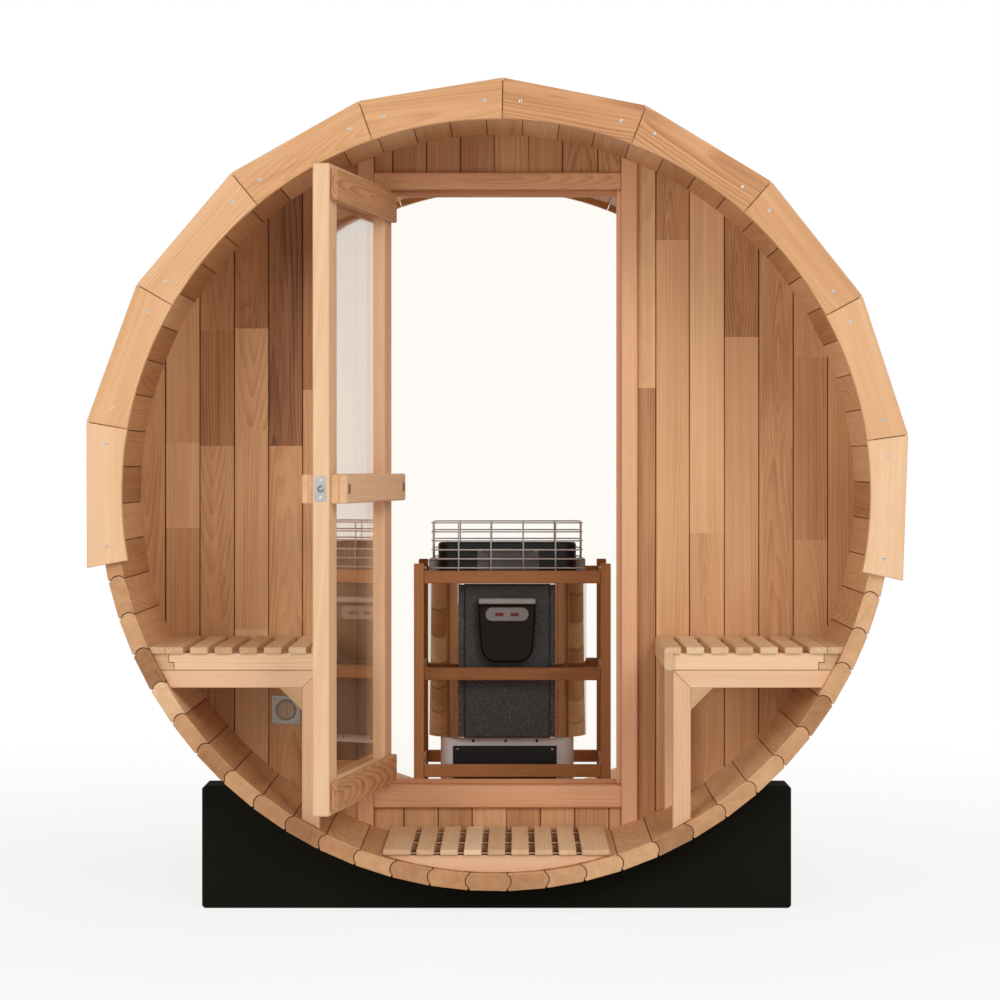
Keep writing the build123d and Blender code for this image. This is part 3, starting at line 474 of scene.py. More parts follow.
def slab(piece, outline, back, axes, material, ease=1.5, tone=None, small=None, joint=None, ends=None,
         caps=None):
    """Section seen from the front, run from one depth to another, with eased ends.

    small is the outline at the ends, joint is painted shade that darkens the sides at each corner, ends
    darkens the end faces, and caps is the material of the end faces.
    """
    joint = joint or [0] * len(outline)
    tone = piece.tone() if tone is None else tone
    area = sum(outline[i - 1][0] * p[1] - p[0] * outline[i - 1][1] for i, p in enumerate(outline))
    if area < 0:
        outline = outline[::-1]
        small, joint = small and small[::-1], joint[::-1]
    small = small or inset(outline, ease)
    rings = ((back[0], small), (back[0] + ease, outline), (back[1] - ease, outline), (back[1], small),
             (back[0], small), (back[1], small))
    count = len(outline)
    points = [(x, d, h) for d, ring in rings for x, h in ring]
    faces = [list(range(4 * count, 5 * count)), list(range(6 * count - 1, 5 * count - 1, -1))]
    for ring in range(3):
        for i in range(count):
            j = (i + 1) % count
            a = ring * count
            faces.append([a + i, a + count + i, a + count + j, a + j])
    sawn_ends = abs(axes[0][1]) > 0.5
    if ends is None:
        ends = END if sawn_ends else 0
    sides = [tone] * count + [tone + dark for dark in joint] * 2 + [tone] * count
    piece.solid(points, faces, axes, material, sides + [tone + ends] * 2 * count,
                close=2 * count if sawn_ends else 0, caps=caps)


def arc(centre, radius, start, end, steps):
    """Points along an arc in a section; angles in degrees from the right."""
    out = []
    for i in range(steps + 1):
        a = math.radians(start + (end - start) * i / steps)
        out.append((centre[0] + radius * math.cos(a), centre[1] + radius * math.sin(a)))
    return out


def lathe(piece, profile, centre, axis, material, steps=20):
    """Round form: profile gives (distance along the axis, radius)."""
    axis = Vector(axis).normalized()
    side = axis.orthogonal().normalized()
    other = axis.cross(side)
    points, faces = [], []
    for along, radius in profile:
        for i in range(steps):
            a = 2 * math.pi * i / steps
            points.append(Vector(centre) + axis * along + (side * math.cos(a) + other * math.sin(a)) * radius)
    for r in range(len(profile) - 1):
        for i in range(steps):
            j = (i + 1) % steps
            faces.append([r * steps + i, r * steps + j, (r + 1) * steps + j, (r + 1) * steps + i])
    faces.append(list(range(steps))[::-1])
    faces.append([(len(profile) - 1) * steps + i for i in range(steps)])
    piece.solid(points, faces, (axis, side, other), material, smooth=True)


def tube(piece, path, radius, material, closed=False, steps=8):
    """Round wire along a path of points."""
    path = [Vector(p) for p in path]
    count = len(path)
    points, faces = [], []
    side = None
    for i, here in enumerate(path):
        before = path[i - 1] if closed or i else here
        after = path[(i + 1) % count] if closed or i + 1 < count else here
        way = (after - before).normalized()
        side = way.orthogonal().normalized() if side is None else (side - way * side.dot(way)).normalized()
        other = way.cross(side)
        for k in range(steps):
            a = 2 * math.pi * k / steps
            points.append(here + (side * math.cos(a) + other * math.sin(a)) * radius)
    for i in range(count if closed else count - 1):
        j = (i + 1) % count
        for k in range(steps):
            m = (k + 1) % steps
            faces.append([i * steps + k, i * steps + m, j * steps + m, j * steps + k])
    if not closed:
        faces.append(list(range(steps))[::-1])
        faces.append([(count - 1) * steps + k for k in range(steps)])
    piece.solid(points, faces, ALONG_X, material, smooth=True)


def screw(piece, centre, axis, radius=3.6, material=SCREW, proud=0.9):
    """Domed screw head with a sunk drive."""
    profile = [(-1, radius), (proud * 0.35, radius), (proud * 0.8, radius * 0.72), (proud, radius * 0.42),
               (proud - 0.9, radius * 0.34)]
    lathe(piece, profile, centre, axis, material, 14)


# Barrel staves: bead on one edge, cove on the other

BEAD = 9
BEAD_ROUNDNESS = 0.72
JOINT_STEPS = 8
TOP_STAVE = STAVES // 2
STAVE_GROUPS = ("bottom", "lower_right", "right", "upper_right", "top", "upper_left", "left", "lower_left")
GROUP = STAVES // len(STAVE_GROUPS)
# Painted shade in the joints between staves, listed from the inner corner of one side to that of the other; the
# outer face gets less
STAVE_JOINT_SHADE = [0.02] + [0.8] * 10 + [0.2] * 2 + [0.8] * 10 + [0.02]


def stave_section(forms):
    """Section of the lowest stave; each of its two edges has a bead (1) or a cove (-1)."""
    half = math.pi / STAVES
    low, high, gap = BORE + 1.5, OUTER - 4.5, -0.5

    def joint(side, radius, shift):
        return (side * (radius * math.sin(half) + shift * math.cos(half)),
                shift * math.sin(half) - radius * math.cos(half))

    sides = []
    for side, form in zip((-1, 1), forms):
        line = [(side * (BORE * math.tan(half) - 2), -BORE)]
        for i in range(JOINT_STEPS + 1):
            t = i / JOINT_STEPS
            radius = low + (high - low) * t
            line.append(joint(side, radius, gap + form * BEAD * (1 - (2 * t - 1) ** 2) ** BEAD_ROUNDNESS))
        line.append(joint(side, OUTER - 3, gap))
        line.append((side * (OUTER * math.tan(half) - 3.5), -OUTER))
        sides.append(line)
    return sides[0] + sides[1][::-1]


for group, group_name in enumerate(STAVE_GROUPS):
    piece = Piece(f"stave_boards_{group_name}", 40 + group)
    for place in range(group * GROUP - GROUP // 2, group * GROUP + GROUP // 2):
        at = place % STAVES
        if at in (0, TOP_STAVE):
            forms = (-1, -1) if at else (1, 1)
        else:
            forms = (-1, 1) if at < TOP_STAVE else (1, -1)
        angle = place * 360 / STAVES + STAVE_TURN
        # joint gives the stave sides the painted shade of the joints
        slab(piece, turned(stave_section(forms), angle), (0, LENGTH), (Y, *section_axes(angle)), STAVE_WOOD, 1.2,
             piece.tone(0.06, 0.58), joint=STAVE_JOINT_SHADE, ends=piece.tone(-0.04, 0.32), caps=STAVE_END_WOOD)
    piece.make(BARREL, "shell", (f"staves_{group_name}",))

# Fascia segments and roof boards

FACET_SLOPE = math.tan(math.radians(FACET_ANGLE / 2))
STREAKED_PLACES = 2, 5, 6
FASCIA_TONES = 0.24, 0.42, 0.34, 0.5, 0.55, 0.62, 0.58, 0.58, 0.42, 0.2
FASCIA_SCREWS = (-118, 894), (118, 894)
BOARD_SCREW = 4.2


def facet_turn(place):
    return ((FACETS - 1) / 2 - place) * FACET_ANGLE + ROOF_TURN


def facet_segment(place, over, reach, bore, gap, steps):
    """Outline of one facet's board: flat above, cut to a round below, short of its neighbours by the gap."""
    inner = arc((0, 0), bore, 90 - FACET_ANGLE / 2 + gap, 90 + FACET_ANGLE / 2 - gap, steps)
    return turned([(-reach, over), (reach, over)] + inner, facet_turn(place))


for name, back, face, seed in (
    ("front_fascia", (-FASCIA, 0), -1, 11),
    ("rear_fascia", (LENGTH, LENGTH + FASCIA), 1, 23),
):
    piece = Piece(name + "_boards", seed)
    face_depth = back[0] if face < 0 else back[1]
    for place in range(FACETS):
        turn = facet_turn(place)
        outline = facet_segment(place, ROOF_OVER, ROOF_OVER * FACET_SLOPE - 0.8, FASCIA_BORE, 0.055, 12)
        slab(piece, outline, back, (*section_axes(turn), Y),
             STREAKED_WOOD if place in STREAKED_PLACES else FASCIA_WOOD, 1.6, FASCIA_TONES[place])
        for x, h in turned(FASCIA_SCREWS, turn):
            screw(piece, (x, face_depth, h), (0, face, 0), BOARD_SCREW)
    piece.make(BARREL, "shell", (name,))

ROOF_BOARDS = 3  # on each facet
ROOF_EDGE = 2.5
ROOF_SCREWS = 40, LENGTH / 2, LENGTH - 40

for name, places, seed in (("roof_left", range(5), 31), ("roof_right", range(5, FACETS), 32)):
    piece = Piece(name + "_boards", seed)
    for place in places:
        turn = facet_turn(place)
        around, out_way = section_axes(turn)
        for i in range(ROOF_BOARDS):
            edges = []
            for edge, gap in ((i, 0.5), (i + 1, -0.5)):
                share = 2 * edge / ROOF_BOARDS - 1
                edges.append([share * height * FACET_SLOPE + gap for height in (ROOF_UNDER, ROOF_OVER)])
            (left_under, left), (right_under, right) = edges
            outline = [(left_under, ROOF_UNDER), (right_under, ROOF_UNDER),
                       (right, ROOF_OVER - ROOF_EDGE), (right - ROOF_EDGE, ROOF_OVER),
                       (left + ROOF_EDGE, ROOF_OVER), (left, ROOF_OVER - ROOF_EDGE)]
            slab(piece, turned(outline, turn), (0, LENGTH), (Y, around, out_way), ROOF_WOOD, 1.0,
                 piece.tone(0.2, 0.75))
            for depth in ROOF_SCREWS:
                for off in (-30, 30):
                    (x, h), = turned([((left + right) / 2 + off, ROOF_OVER)], turn)
                    screw(piece, (x, depth, h), out_way, BOARD_SCREW)
    piece.make(BARREL, "shell", (name,))

# Front wall: upright boards in random lengths, cut to the bore


def clip(outline, nx, nh, limit):
    """Part of a convex outline where x*nx + h*nh is at most the limit."""
    out = []
    for i, b in enumerate(outline):
        a = outline[i - 1]
        da, db = a[0] * nx + a[1] * nh - limit, b[0] * nx + b[1] * nh - limit
        if (da < 0) != (db < 0):
            t = da / (da - db)
            out.append((a[0] + (b[0] - a[0]) * t, a[1] + (b[1] - a[1]) * t))
        if db <= 0:
            out.append(b)
    return out


WALL_END = 900  # past the bore, so that the round cuts the boards
WALL_ROUND = [(c * (BORE + 5), s * (BORE + 5)) for c, s in circle(180)]
WALL_GAP = 0.4
WALL_EDGE = 1.7
# For each panel its boards' edges, its foot and its top, and for each board its tone at the top, then the
# height of each butt joint and the tone below it. The tones are partly the boards' own and partly painted
# shade: the dark upper lengths of the left panel's boards nearest the door are a painted shadow of the door,
# and the head's boards are darkened evenly as painted shade.
WALL_PANELS = {
    "front_wall_left": (
        [-WALL_END, -816, -732, -647, -563, -479.5, -395.6, -CASING], -WALL_END, WALL_END,
        ((0.5,), (0.38, 120, 0.26, -90, 0.46), (0.66, 396, 0.7, 112, 0.48, -330, 0.5),
         (0.74, 401, 0.46, 150, 0.42, -338, 0.22), (0.86, 112, 0.48), (0.76, 250, 0.5), (0.5, 300, 0.36))),
    "front_wall_right": (
        [CASING, 389.4, 472, 558, 642.6, 727.5, 812, WALL_END], -WALL_END, WALL_END,
        ((0.34, 254, 0.66), (0.66, 618, 0.42), (0.34, -102, 0.46), (0.7, 380, 0.44), (0.58, 109, 0.5),
         (0.5, 330, 0.56, -118, 0.42), (0.5,))),
    "front_wall_head": (
        [-DOORWAY, -257.7, -174, -91.3, -7.6, 76.4, 159.8, 246.6, DOORWAY], HEADER_TOP, WALL_END,
        ((0.55,), (0.62,), (0.58,), (0.66,), (0.54,), (0.6,), (0.66,), (0.56,))),
    "front_wall_foot": (
        [-DOORWAY, -230, -146, -62, 22, 106, 190, 274, DOORWAY], -WALL_END, SILL_FOOT,
        ((0.5,), (0.45,), (0.55,), (0.3,), (0.6,), (0.4,), (0.5,), (0.45,))),
}


def wall_board(piece, left, right, low, high, tone):
    """One length of a wall board, cut to the round, with its long edges eased."""
    outline = WALL_ROUND
    for nx, nh, limit in ((-1, 0, -left - WALL_GAP), (1, 0, right - WALL_GAP), (0, -1, -low), (0, 1, high)):
        outline = clip(outline, nx, nh, limit)
        if len(outline) < 3:
            return
    small = [(x + WALL_EDGE if x < left + 1 else x - WALL_EDGE if x > right - 1 else x, h) for x, h in outline]
    # Every side and eased edge is darkened by 0.5 as painted shade in the joints between boards
    slab(piece, outline, (WALL_FRONT, WALL_BACK), ALONG_Z, WALL_WOOD, WALL_EDGE, tone, small,
         [0.5] * len(outline))


for seed, (name, (edges, low, high, boards)) in enumerate(WALL_PANELS.items()):
    piece = Piece(name + "_boards", 60 + seed, 0.5)
    for left, right, (tone, *joints) in zip(edges, edges[1:], boards):
        top = high
        for cut, below in zip(joints[::2], joints[1::2]):
            wall_board(piece, left, right, cut, top, tone)
            top, tone = cut, below
        wall_board(piece, left, right, low, top, tone)
    piece.make(BARREL, "shell", (name,))

# Door casing

CASING_DEPTH = 395, 459
CASING_EDGE = 2.5
STOP = 294  # half the width between the stops
STOP_DEPTH = 438, 459
STOP_EDGE = 1.2

piece = Piece("door_jamb_boards", 71)
for side, tone in ((-1, 0.45), (1, 0.4)):
    near, far = (math.sqrt((BORE + 1)**2 - x**2) for x in (DOORWAY, CASING))
    outline = [(side * DOORWAY, -near), (side * DOORWAY, near), (side * CASING, far), (side * CASING, -far)]
    slab(piece, outline, CASING_DEPTH, ALONG_Z, CASING_WOOD, CASING_EDGE, tone)
piece.make(BARREL, "shell", ("door_jambs",))

piece = Piece("door_cross_boards", 72)
for up, tone in (((HEAD, HEADER_TOP), 0.55), ((SILL_FOOT, SILL), 0.5)):
    bar(piece, (-DOORWAY, DOORWAY), CASING_DEPTH, up, ALONG_X, CASING_WOOD, CASING_EDGE, tone)
piece.make(BARREL, "shell", ("door_header_and_sill",))

piece = Piece("door_stop_boards", 73)
for side in (-1, 1):
    bar(piece, (side * STOP, side * DOORWAY), STOP_DEPTH, (SILL, HEAD), ALONG_Z, CASING_WOOD, STOP_EDGE)
for up in ((HEAD - 15, HEAD), (SILL, SILL + 10)):
    bar(piece, (-STOP, STOP), STOP_DEPTH, up, ALONG_X, CASING_WOOD, STOP_EDGE)
piece.make(BARREL, "shell", ("door_stops",))

# Door, in its own frame: from the hinge pin across, back and up

DOOR_NEAR, DOOR_FAR = 2.5, 597.5
DOOR_FACE, DOOR_BACK = 6, 44
DOOR_FOOT, DOOR_TOP = -716, 737
STILE = 70
HANDLE_NEAR, HANDLE_FAR = DOOR_NEAR + 12, DOOR_FAR - 12
HANDLE = -20.5, 44.5
HANDLE_MIDDLE = sum(HANDLE) / 2
BLOCK = 44  # width of the blocks that carry a handle
PEG = 11  # half a peg's width

piece = Piece("door_stile_boards", 81)
for near, tone in ((DOOR_NEAR, 0.5), (DOOR_FAR - STILE, 0.42)):
    bar(piece, (near, near + STILE), (DOOR_FACE, DOOR_BACK), (DOOR_FOOT, DOOR_TOP), ALONG_Z, DOOR_WOOD, 2.5, tone)
piece.make(DOOR, "door", ("door_stiles",))

piece = Piece("door_rail_boards", 82)
for foot, tone in ((DOOR_TOP - STILE, 0.5), (DOOR_FOOT, 0.4)):
    bar(piece, (DOOR_NEAR + STILE, DOOR_FAR - STILE), (DOOR_FACE, DOOR_BACK), (foot, foot + STILE), ALONG_X,
        DOOR_WOOD, 2.0, tone)
piece.make(DOOR, "door", ("door_rails",))

piece = Piece("door_inner_board_pair", 83, 1.0)
for up in ((656, 726), (-705, -640)):
    bar(piece, (DOOR_NEAR + 10, DOOR_FAR - 10), (DOOR_BACK, DOOR_BACK + 16), up, ALONG_X, BOARD_WOOD, 3.0, 0.28)
piece.make(DOOR, "door", ("door_inner_boards",))

for name, face, way, block, plank, seed in (
    ("inner", DOOR_BACK, 1, 19, 19, 84),
    ("outer", DOOR_FACE, -1, 12, 16, 85),
):
    piece = Piece(f"door_{name}_handle_boards", seed)
    under = face + way * block
    front = under + way * plank
    for start in (HANDLE_NEAR, HANDLE_FAR - BLOCK):
        bar(piece, (start, start + BLOCK), (face, under), HANDLE, ALONG_X, DOOR_WOOD, 1.5, 0.45)
    bar(piece, (HANDLE_NEAR, HANDLE_FAR), (under, front), HANDLE, ALONG_X, DOOR_WOOD, 3.0, 0.4)
    for middle in (HANDLE_NEAR + BLOCK / 2, HANDLE_FAR - BLOCK / 2):
        bar(piece, (middle - PEG, middle + PEG), (front - way, front + way * 0.8),
            (HANDLE_MIDDLE - PEG, HANDLE_MIDDLE + PEG), ALONG_Z, PEG_WOOD, 0.6, 0.6)
    piece.make(DOOR, "door", (f"door_{name}_handle",))

# Benches: seat slats and a nosing on cleats, over brackets

SEAT, SLAT_FOOT = -355, -370
SLAT_NEAR, SLAT_PITCH = 439, 56.8
SLAT_EDGE = 1.4
BENCH_FACE = 408  # from the barrel's middle to the front of cleats and brackets
CLEAT_FOOT = -407.6
RAIL_TOP = -409
BRACKET = 449  # far side of a bracket's leg, and foot of its rail, since they meet in a mitre
GUSSET = 52
SLANT = 0.707


def bore_reach(h):
    """Distance from the barrel's middle line to its bore at a height."""
    return math.sqrt(BORE**2 - h**2)


def mirrored(outline, side):
    return [(side * x, h) for x, h in outline]


for side_name, side in (("left", -1), ("right", 1)):
    piece = Piece(f"{side_name}_bench_boards", 90 + side)
    for i in range(6):
        near = SLAT_NEAR + i * SLAT_PITCH
        bar(piece, (side * near, side * (near + SLAT)), PORCH, (SLAT_FOOT, SEAT), ALONG_Y, SLAT_WOOD, SLAT_EDGE,
            piece.tone(0.05, 0.48))
    last = near + SLAT + 1
    outline = [(last, SLAT_FOOT), (bore_reach(SLAT_FOOT), SLAT_FOOT), (bore_reach(SEAT), SEAT), (last, SEAT)]
    slab(piece, mirrored(outline, side), PORCH, ALONG_Y, SLAT_WOOD, SLAT_EDGE, 0.3)
    nosing = arc((397, -399), 10, 270, 180, 4) + arc((397, -365), 10, 180, 90, 5) + [
        (426, SEAT), (426, SLAT_FOOT), (BENCH_FACE, SLAT_FOOT), (BENCH_FACE, RAIL_TOP)]
    slab(piece, mirrored(nosing, side), PORCH, ALONG_Y, SLAT_WOOD, 1.5, 0.3)
    piece.make(BARREL, "shell", (f"{side_name}_bench_slats",))

    piece = Piece(f"{side_name}_bench_cleat_boards", 95 + side)
    for depth in BRACKETS:
        back = (depth, depth + TIMBER)
        outline = [(BENCH_FACE, CLEAT_FOOT), (743.6, CLEAT_FOOT), (743.6, -390), (756, -390), (756, SLAT_FOOT),
                   (BENCH_FACE, SLAT_FOOT)]
        slab(piece, mirrored(outline, side), back, ALONG_X, BENCH_WOOD, 0.8, 0.26)
        outline = [(745, CLEAT_FOOT), (bore_reach(CLEAT_FOOT), CLEAT_FOOT), (bore_reach(SLAT_FOOT), SLAT_FOOT),
                   (757.2, SLAT_FOOT), (757.2, -391.2), (745, -391.2)]
        slab(piece, mirrored(outline, side), back, ALONG_X, SLAT_WOOD, 0.8, 0.5)
    piece.make(BARREL, "shell", (f"{side_name}_bench_cleats",))

    piece = Piece(f"{side_name}_bench_bracket_boards", 99 + side)
    for depth in BRACKETS:
        back = (depth, depth + TIMBER)
        rail = [(BRACKET, -BRACKET), (bore_reach(BRACKET), -BRACKET), (bore_reach(RAIL_TOP), RAIL_TOP),
                (BENCH_FACE + 0.5, RAIL_TOP)]
        slab(piece, mirrored(rail, side), back, ALONG_X, ROSY_WOOD, 1.6, 0.42)
        leg = [(BENCH_FACE, -bore_reach(BENCH_FACE)), (BRACKET, -bore_reach(BRACKET)), (BRACKET, -BRACKET - 0.5),
               (BENCH_FACE, RAIL_TOP - 0.5)]
        slab(piece, mirrored(leg, side), back, ALONG_Z, ROSY_WOOD, 1.6, 0.5)
        gusset = [(BRACKET, -BRACKET - GUSSET), (BRACKET + GUSSET, -BRACKET), (BRACKET, -BRACKET)]
        slab(piece, mirrored(gusset, side), back, ((SLANT, 0, side * SLANT), (SLANT, 0, -side * SLANT), Y),
             SLAT_WOOD, 1.0, 0.6)
    piece.make(BARREL, "shell", (f"{side_name}_bench_brackets",))

# Duckboard

DUCK_PITCH = 54.8
DUCK_SIDE = 3  # slats on either side of the middle one
DUCK = -834, -822
BEARER_ANGLE, BEARER_HALF = 17.8, 268

piece = Piece("duckboard_boards", 111)
for i in range(-DUCK_SIDE, DUCK_SIDE + 1):
    middle = i * DUCK_PITCH
    bar(piece, (middle - SLAT / 2, middle + SLAT / 2), PORCH, DUCK, ALONG_Y, SLAT_WOOD, SLAT_EDGE,
        piece.tone(0.0, 0.42))
for side in (-1, 1):
    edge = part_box("duckboard_slats")[1].x / MM
    near = DUCK_SIDE * DUCK_PITCH + SLAT / 2 + 13
    bar(piece, (side * near, side * edge), PORCH, DUCK, ALONG_Y, SLAT_WOOD, SLAT_EDGE, 0.35)
piece.make(BARREL, "shell", ("duckboard_slats",))

piece = Piece("duckboard_bearer_boards", 112)
for front in (BRACKETS[0], sum(BRACKETS) / 2, BRACKETS[1]):
    outline = arc((0, 0), BORE - 0.3, 270 - BEARER_ANGLE, 270 + BEARER_ANGLE, 12) + [
        (BEARER_HALF, DUCK[0]), (-BEARER_HALF, DUCK[0])]
    slab(piece, outline, (front, front + TIMBER), ALONG_X, ROSY_WOOD, 1.5, 0.5)
piece.make(BARREL, "shell", ("duckboard_bearers",))

# Heater guard

GUARD_MIDDLE, GUARD_HALF = 36, 246
POST, POST_TOP = 26, -195
POST_DEPTHS = 850, 1194
RAIL, RAIL_STOCK = 33, 18
GUARD_RAIL_TOP, GUARD_RAIL_PITCH = -214, 255

piece = Piece("guard_boards", 121)
for side in (-1, 1):
    for depth in POST_DEPTHS:
        x = GUARD_MIDDLE + side * GUARD_HALF
        foot = -bore_reach(abs(x) + POST / 2)
        bar(piece, (x - POST / 2, x + POST / 2), (depth, depth + POST), (foot, POST_TOP), ALONG_Z, GUARD_WOOD)
for i in range(3):
    top = GUARD_RAIL_TOP - i * GUARD_RAIL_PITCH
    reach = GUARD_HALF - POST / 2
    for depth in POST_DEPTHS:
        bar(piece, (GUARD_MIDDLE - reach, GUARD_MIDDLE + reach), (depth + 4, depth + 4 + RAIL_STOCK),
            (top - RAIL, top), ALONG_X, GUARD_WOOD)
    for side in (-1, 1):
        x = GUARD_MIDDLE + side * GUARD_HALF
        bar(piece, (x - RAIL_STOCK / 2, x + RAIL_STOCK / 2), (POST_DEPTHS[0] + POST, POST_DEPTHS[1]),
            (top - RAIL, top), ALONG_Y, GUARD_WOOD)
piece.make(BARREL, "shell", ("heater_guard",))

# Roof arches, between the staves and the roof

ARCH_BORE = 915.9

piece = Piece("roof_arch_boards", 131)
for front in (0, (LENGTH - TIMBER) / 2, LENGTH - TIMBER):
    for place in range(FACETS):
        outline = facet_segment(place, ROOF_UNDER, ROOF_UNDER * FACET_SLOPE - 0.4, ARCH_BORE, 0.03, 8)
        slab(piece, outline, (front, front + TIMBER), (*section_axes(facet_turn(place)), Y), ROOF_WOOD, 0.6, 0.55)
piece.make(BARREL, "shell", ("roof_arches",))

# Hinges and latch

SHUT = Matrix.Translation(PIN)
HINGE_HEIGHTS = -551, 10.5, 572
HINGE_HALF = 45
LEAF = 2.0, 4.5
KNUCKLE = 14.8  # half its length
KNUCKLE_PROFILE = (-KNUCKLE, 4.0), (-14.4, 4.5), (14.4, 4.5), (KNUCKLE, 4.0)
PIN_HEAD = (HINGE_HALF, 2.6), (46, 3.6), (47.5, 3.2), (48.5, 1.6)
LATCH_DEPTH = 25

for name, place, body, side, ends, seed in (
    ("door_hinge_leaves", DOOR, "door", 1, (0,), 141),
    ("jamb_hinge_leaves", SHUT, "shell", -1, (-1, 1), 142),
):
    piece = Piece(name + "_fitted", seed)
    leaf = [side * x for x in LEAF]
    for height in HINGE_HEIGHTS:
        bar(piece, leaf, (6, 36), (height - HINGE_HALF, height + HINGE_HALF), ALONG_Z, LATCH, 0.5)
        for end in ends:
            middle = height + end * 30
            bar(piece, leaf, (0.5, 6.4), (middle - KNUCKLE, middle + KNUCKLE), ALONG_Z, LATCH, 0.4)
            lathe(piece, KNUCKLE_PROFILE, (0, 0, middle), Z, LATCH)
        if side < 0:
            lathe(piece, PIN_HEAD, (0, 0, height), Z, LATCH, 14)
        for up, depth in ((-32, 27), (0, 15), (32, 27)):
            screw(piece, (leaf[0], depth, height + up), (-side, 0, 0), 3.4, proud=0.5)
    piece.make(place, body, (name,))

piece = Piece("latch_screws", 143)
for up in (-19, 19):
    screw(piece, (DOOR_FAR, LATCH_DEPTH, HANDLE_MIDDLE + up), X, 4.2, proud=1.2)
ring = [(DOOR_FAR + 0.2, LATCH_DEPTH + 7.5 * c, HANDLE_MIDDLE + 7.5 * s) for c, s in circle(20)]
tube(piece, ring, 0.9, LATCH, closed=True)
piece.make(DOOR, "door")

# Vent

VENT_X, VENT_H = -520, -537
FRONTWARD = 0, -1, 0

piece = Piece("vent_fittings", 151)
ring = [(VENT_X + 24 * c, 406.6, VENT_H + 24 * s) for c, s in circle(40)]
tube(piece, ring, 1.8, PLATE, closed=True)
for x in (-28, 28):
    for h in (-28, 28):
        screw(piece, (VENT_X + x, 407, VENT_H + h), FRONTWARD)
piece.make(BARREL, "shell")

# Heater control, with a bar over it and a display

CENTRE = 22  # the heater stands a little to the right
CONTROL_HALF, CONTROL_BACK = 75, 903
SHIELD_CORNERS = 0, 0, 40, 40, 40, 40


def rounded(points, radius, steps=6):
    """Outline with each corner rounded by its own radius."""
    out = []
    count = len(points)
    for i, here in enumerate(points):
        here = Vector(here)
        if not radius[i]:
            out.append(tuple(here))
            continue
        one = (Vector(points[i - 1]) - here).normalized()
        two = (Vector(points[(i + 1) % count]) - here).normalized()
        half = one.angle(two) / 2
        reach = radius[i] / math.tan(half)
        middle = here + (one + two).normalized() * radius[i] / math.sin(half)
        start, end = here + one * reach - middle, here + two * reach - middle
        first = math.atan2(start.y, start.x)
        sweep = (math.atan2(end.y, end.x) - first + math.pi) % (2 * math.pi) - math.pi
        for k in range(steps + 1):
            a = first + sweep * k / steps
            out.append((middle.x + radius[i] * math.cos(a), middle.y + radius[i] * math.sin(a)))
    return out


piece = Piece("heater_control_shell", 161)
shield = [(-CONTROL_HALF, -303), (CONTROL_HALF, -303), (CONTROL_HALF, -348), (66, -456), (-66, -456),
          (-CONTROL_HALF, -348)]
shield = rounded([(CENTRE + x, h) for x, h in shield], SHIELD_CORNERS)
slab(piece, shield, (868, CONTROL_BACK), ALONG_X, CONTROL, 5)
bar(piece, (CENTRE - CONTROL_HALF, CENTRE + CONTROL_HALF), (870, CONTROL_BACK), (-302.5, -288), ALONG_X, TRIM, 2.5)
oval = [(CENTRE + x, h) for x, h in ((-57, -347), (57, -347), (57, -311), (-57, -311))]
slab(piece, rounded(oval, (17.5,) * 4, 8), (866, 869), ALONG_X, DISPLAY, 1.2)
for x in (CENTRE - 20, CENTRE + 20):
    bar(piece, (x - 11, x + 11), (865.4, 866.6), (-334, -325), ALONG_X, READOUT, 0.4)
ring = [(CENTRE - 8 + 16 * c, 872, -462 + 15 * s) for c, s in circle(18)]
tube(piece, ring, 1.3, ENAMEL, closed=True)
piece.make(BARREL, "shell", ("heater_control",))

# Heater side strips, lower and upper plates with their screws, and the ribs at its top corners

LOWER_PLATE, UPPER_PLATE = 925.5, 938.5  # depth of their faces
RIB_PITCH, RIB_WIDTH = 11, 4.5

piece = Piece("heater_fittings", 162)
for side in (-1, 1):
    x = CENTRE + side * 121
    bar(piece, (x - 7, x + 7), (908, 918), (-657, -253), ALONG_Z, PANEL, 1.0)
bar(piece, (-122, 154), (LOWER_PLATE, 928), (-772, -682), ALONG_X, ENAMEL, 1.0)
for x in (-110, 142):
    for h in (-763, -691):
        screw(piece, (x, LOWER_PLATE, h), FRONTWARD, 3.0)
for x in (-68, 18, 101):
    screw(piece, (x, 927.5, -669), FRONTWARD, 4.0, ENAMEL)
bar(piece, (-58, 107), (UPPER_PLATE, 941), (-223, -158), ALONG_X, PLATE_GREY, 1.0)
for x in (-50, 99):
    screw(piece, (x, UPPER_PLATE, -166), FRONTWARD, 3.0)
for side in (-1, 1):
    low, high = sorted((CENTRE + side * 176, CENTRE + side * 210))
    for i in range(11):
        near = 985 + i * RIB_PITCH
        bar(piece, (low, high), (near, near + RIB_WIDTH), (-224, -190), ALONG_Z, TRIM, 0.8)
    bar(piece, (low, high), (982, 1103), (-191, -187), ALONG_Y, TRIM, 1.5)
piece.make(BARREL, "shell")

# Wire cage: loops one above the other, and upright wires inside them

CAGE_DEPTH = 1040
CAGE_FOOT, CAGE_TOP = -224, -88
LOOP_PITCH = 24
WIRE_RADIUS = 2.0

piece = Piece("cage_wires", 163)
corners = [(CENTRE + sx * 200.5, CAGE_DEPTH + sd * 114) for sx, sd in ((-1, -1), (1, -1), (1, 1), (-1, 1))]
loop = rounded(corners, (23,) * 4, 5)
for i in range(6):
    tube(piece, [(x, d, CAGE_TOP - 1 - i * LOOP_PITCH) for x, d in loop], WIRE_RADIUS, WIRE, closed=True)
uprights = [(x, d) for x in (-129, -43, 43, 129) for d in (-112, 112)]
uprights += [(x, d) for d in (-43, 43) for x in (-198.5, 198.5)]
for x, d in uprights:
    tube(piece, [(CENTRE + x, CAGE_DEPTH + d, h) for h in (CAGE_FOOT, CAGE_TOP)], WIRE_RADIUS, WIRE)
piece.make(BARREL, "shell", ("heater_cage",))

# Kept solids and their finishes

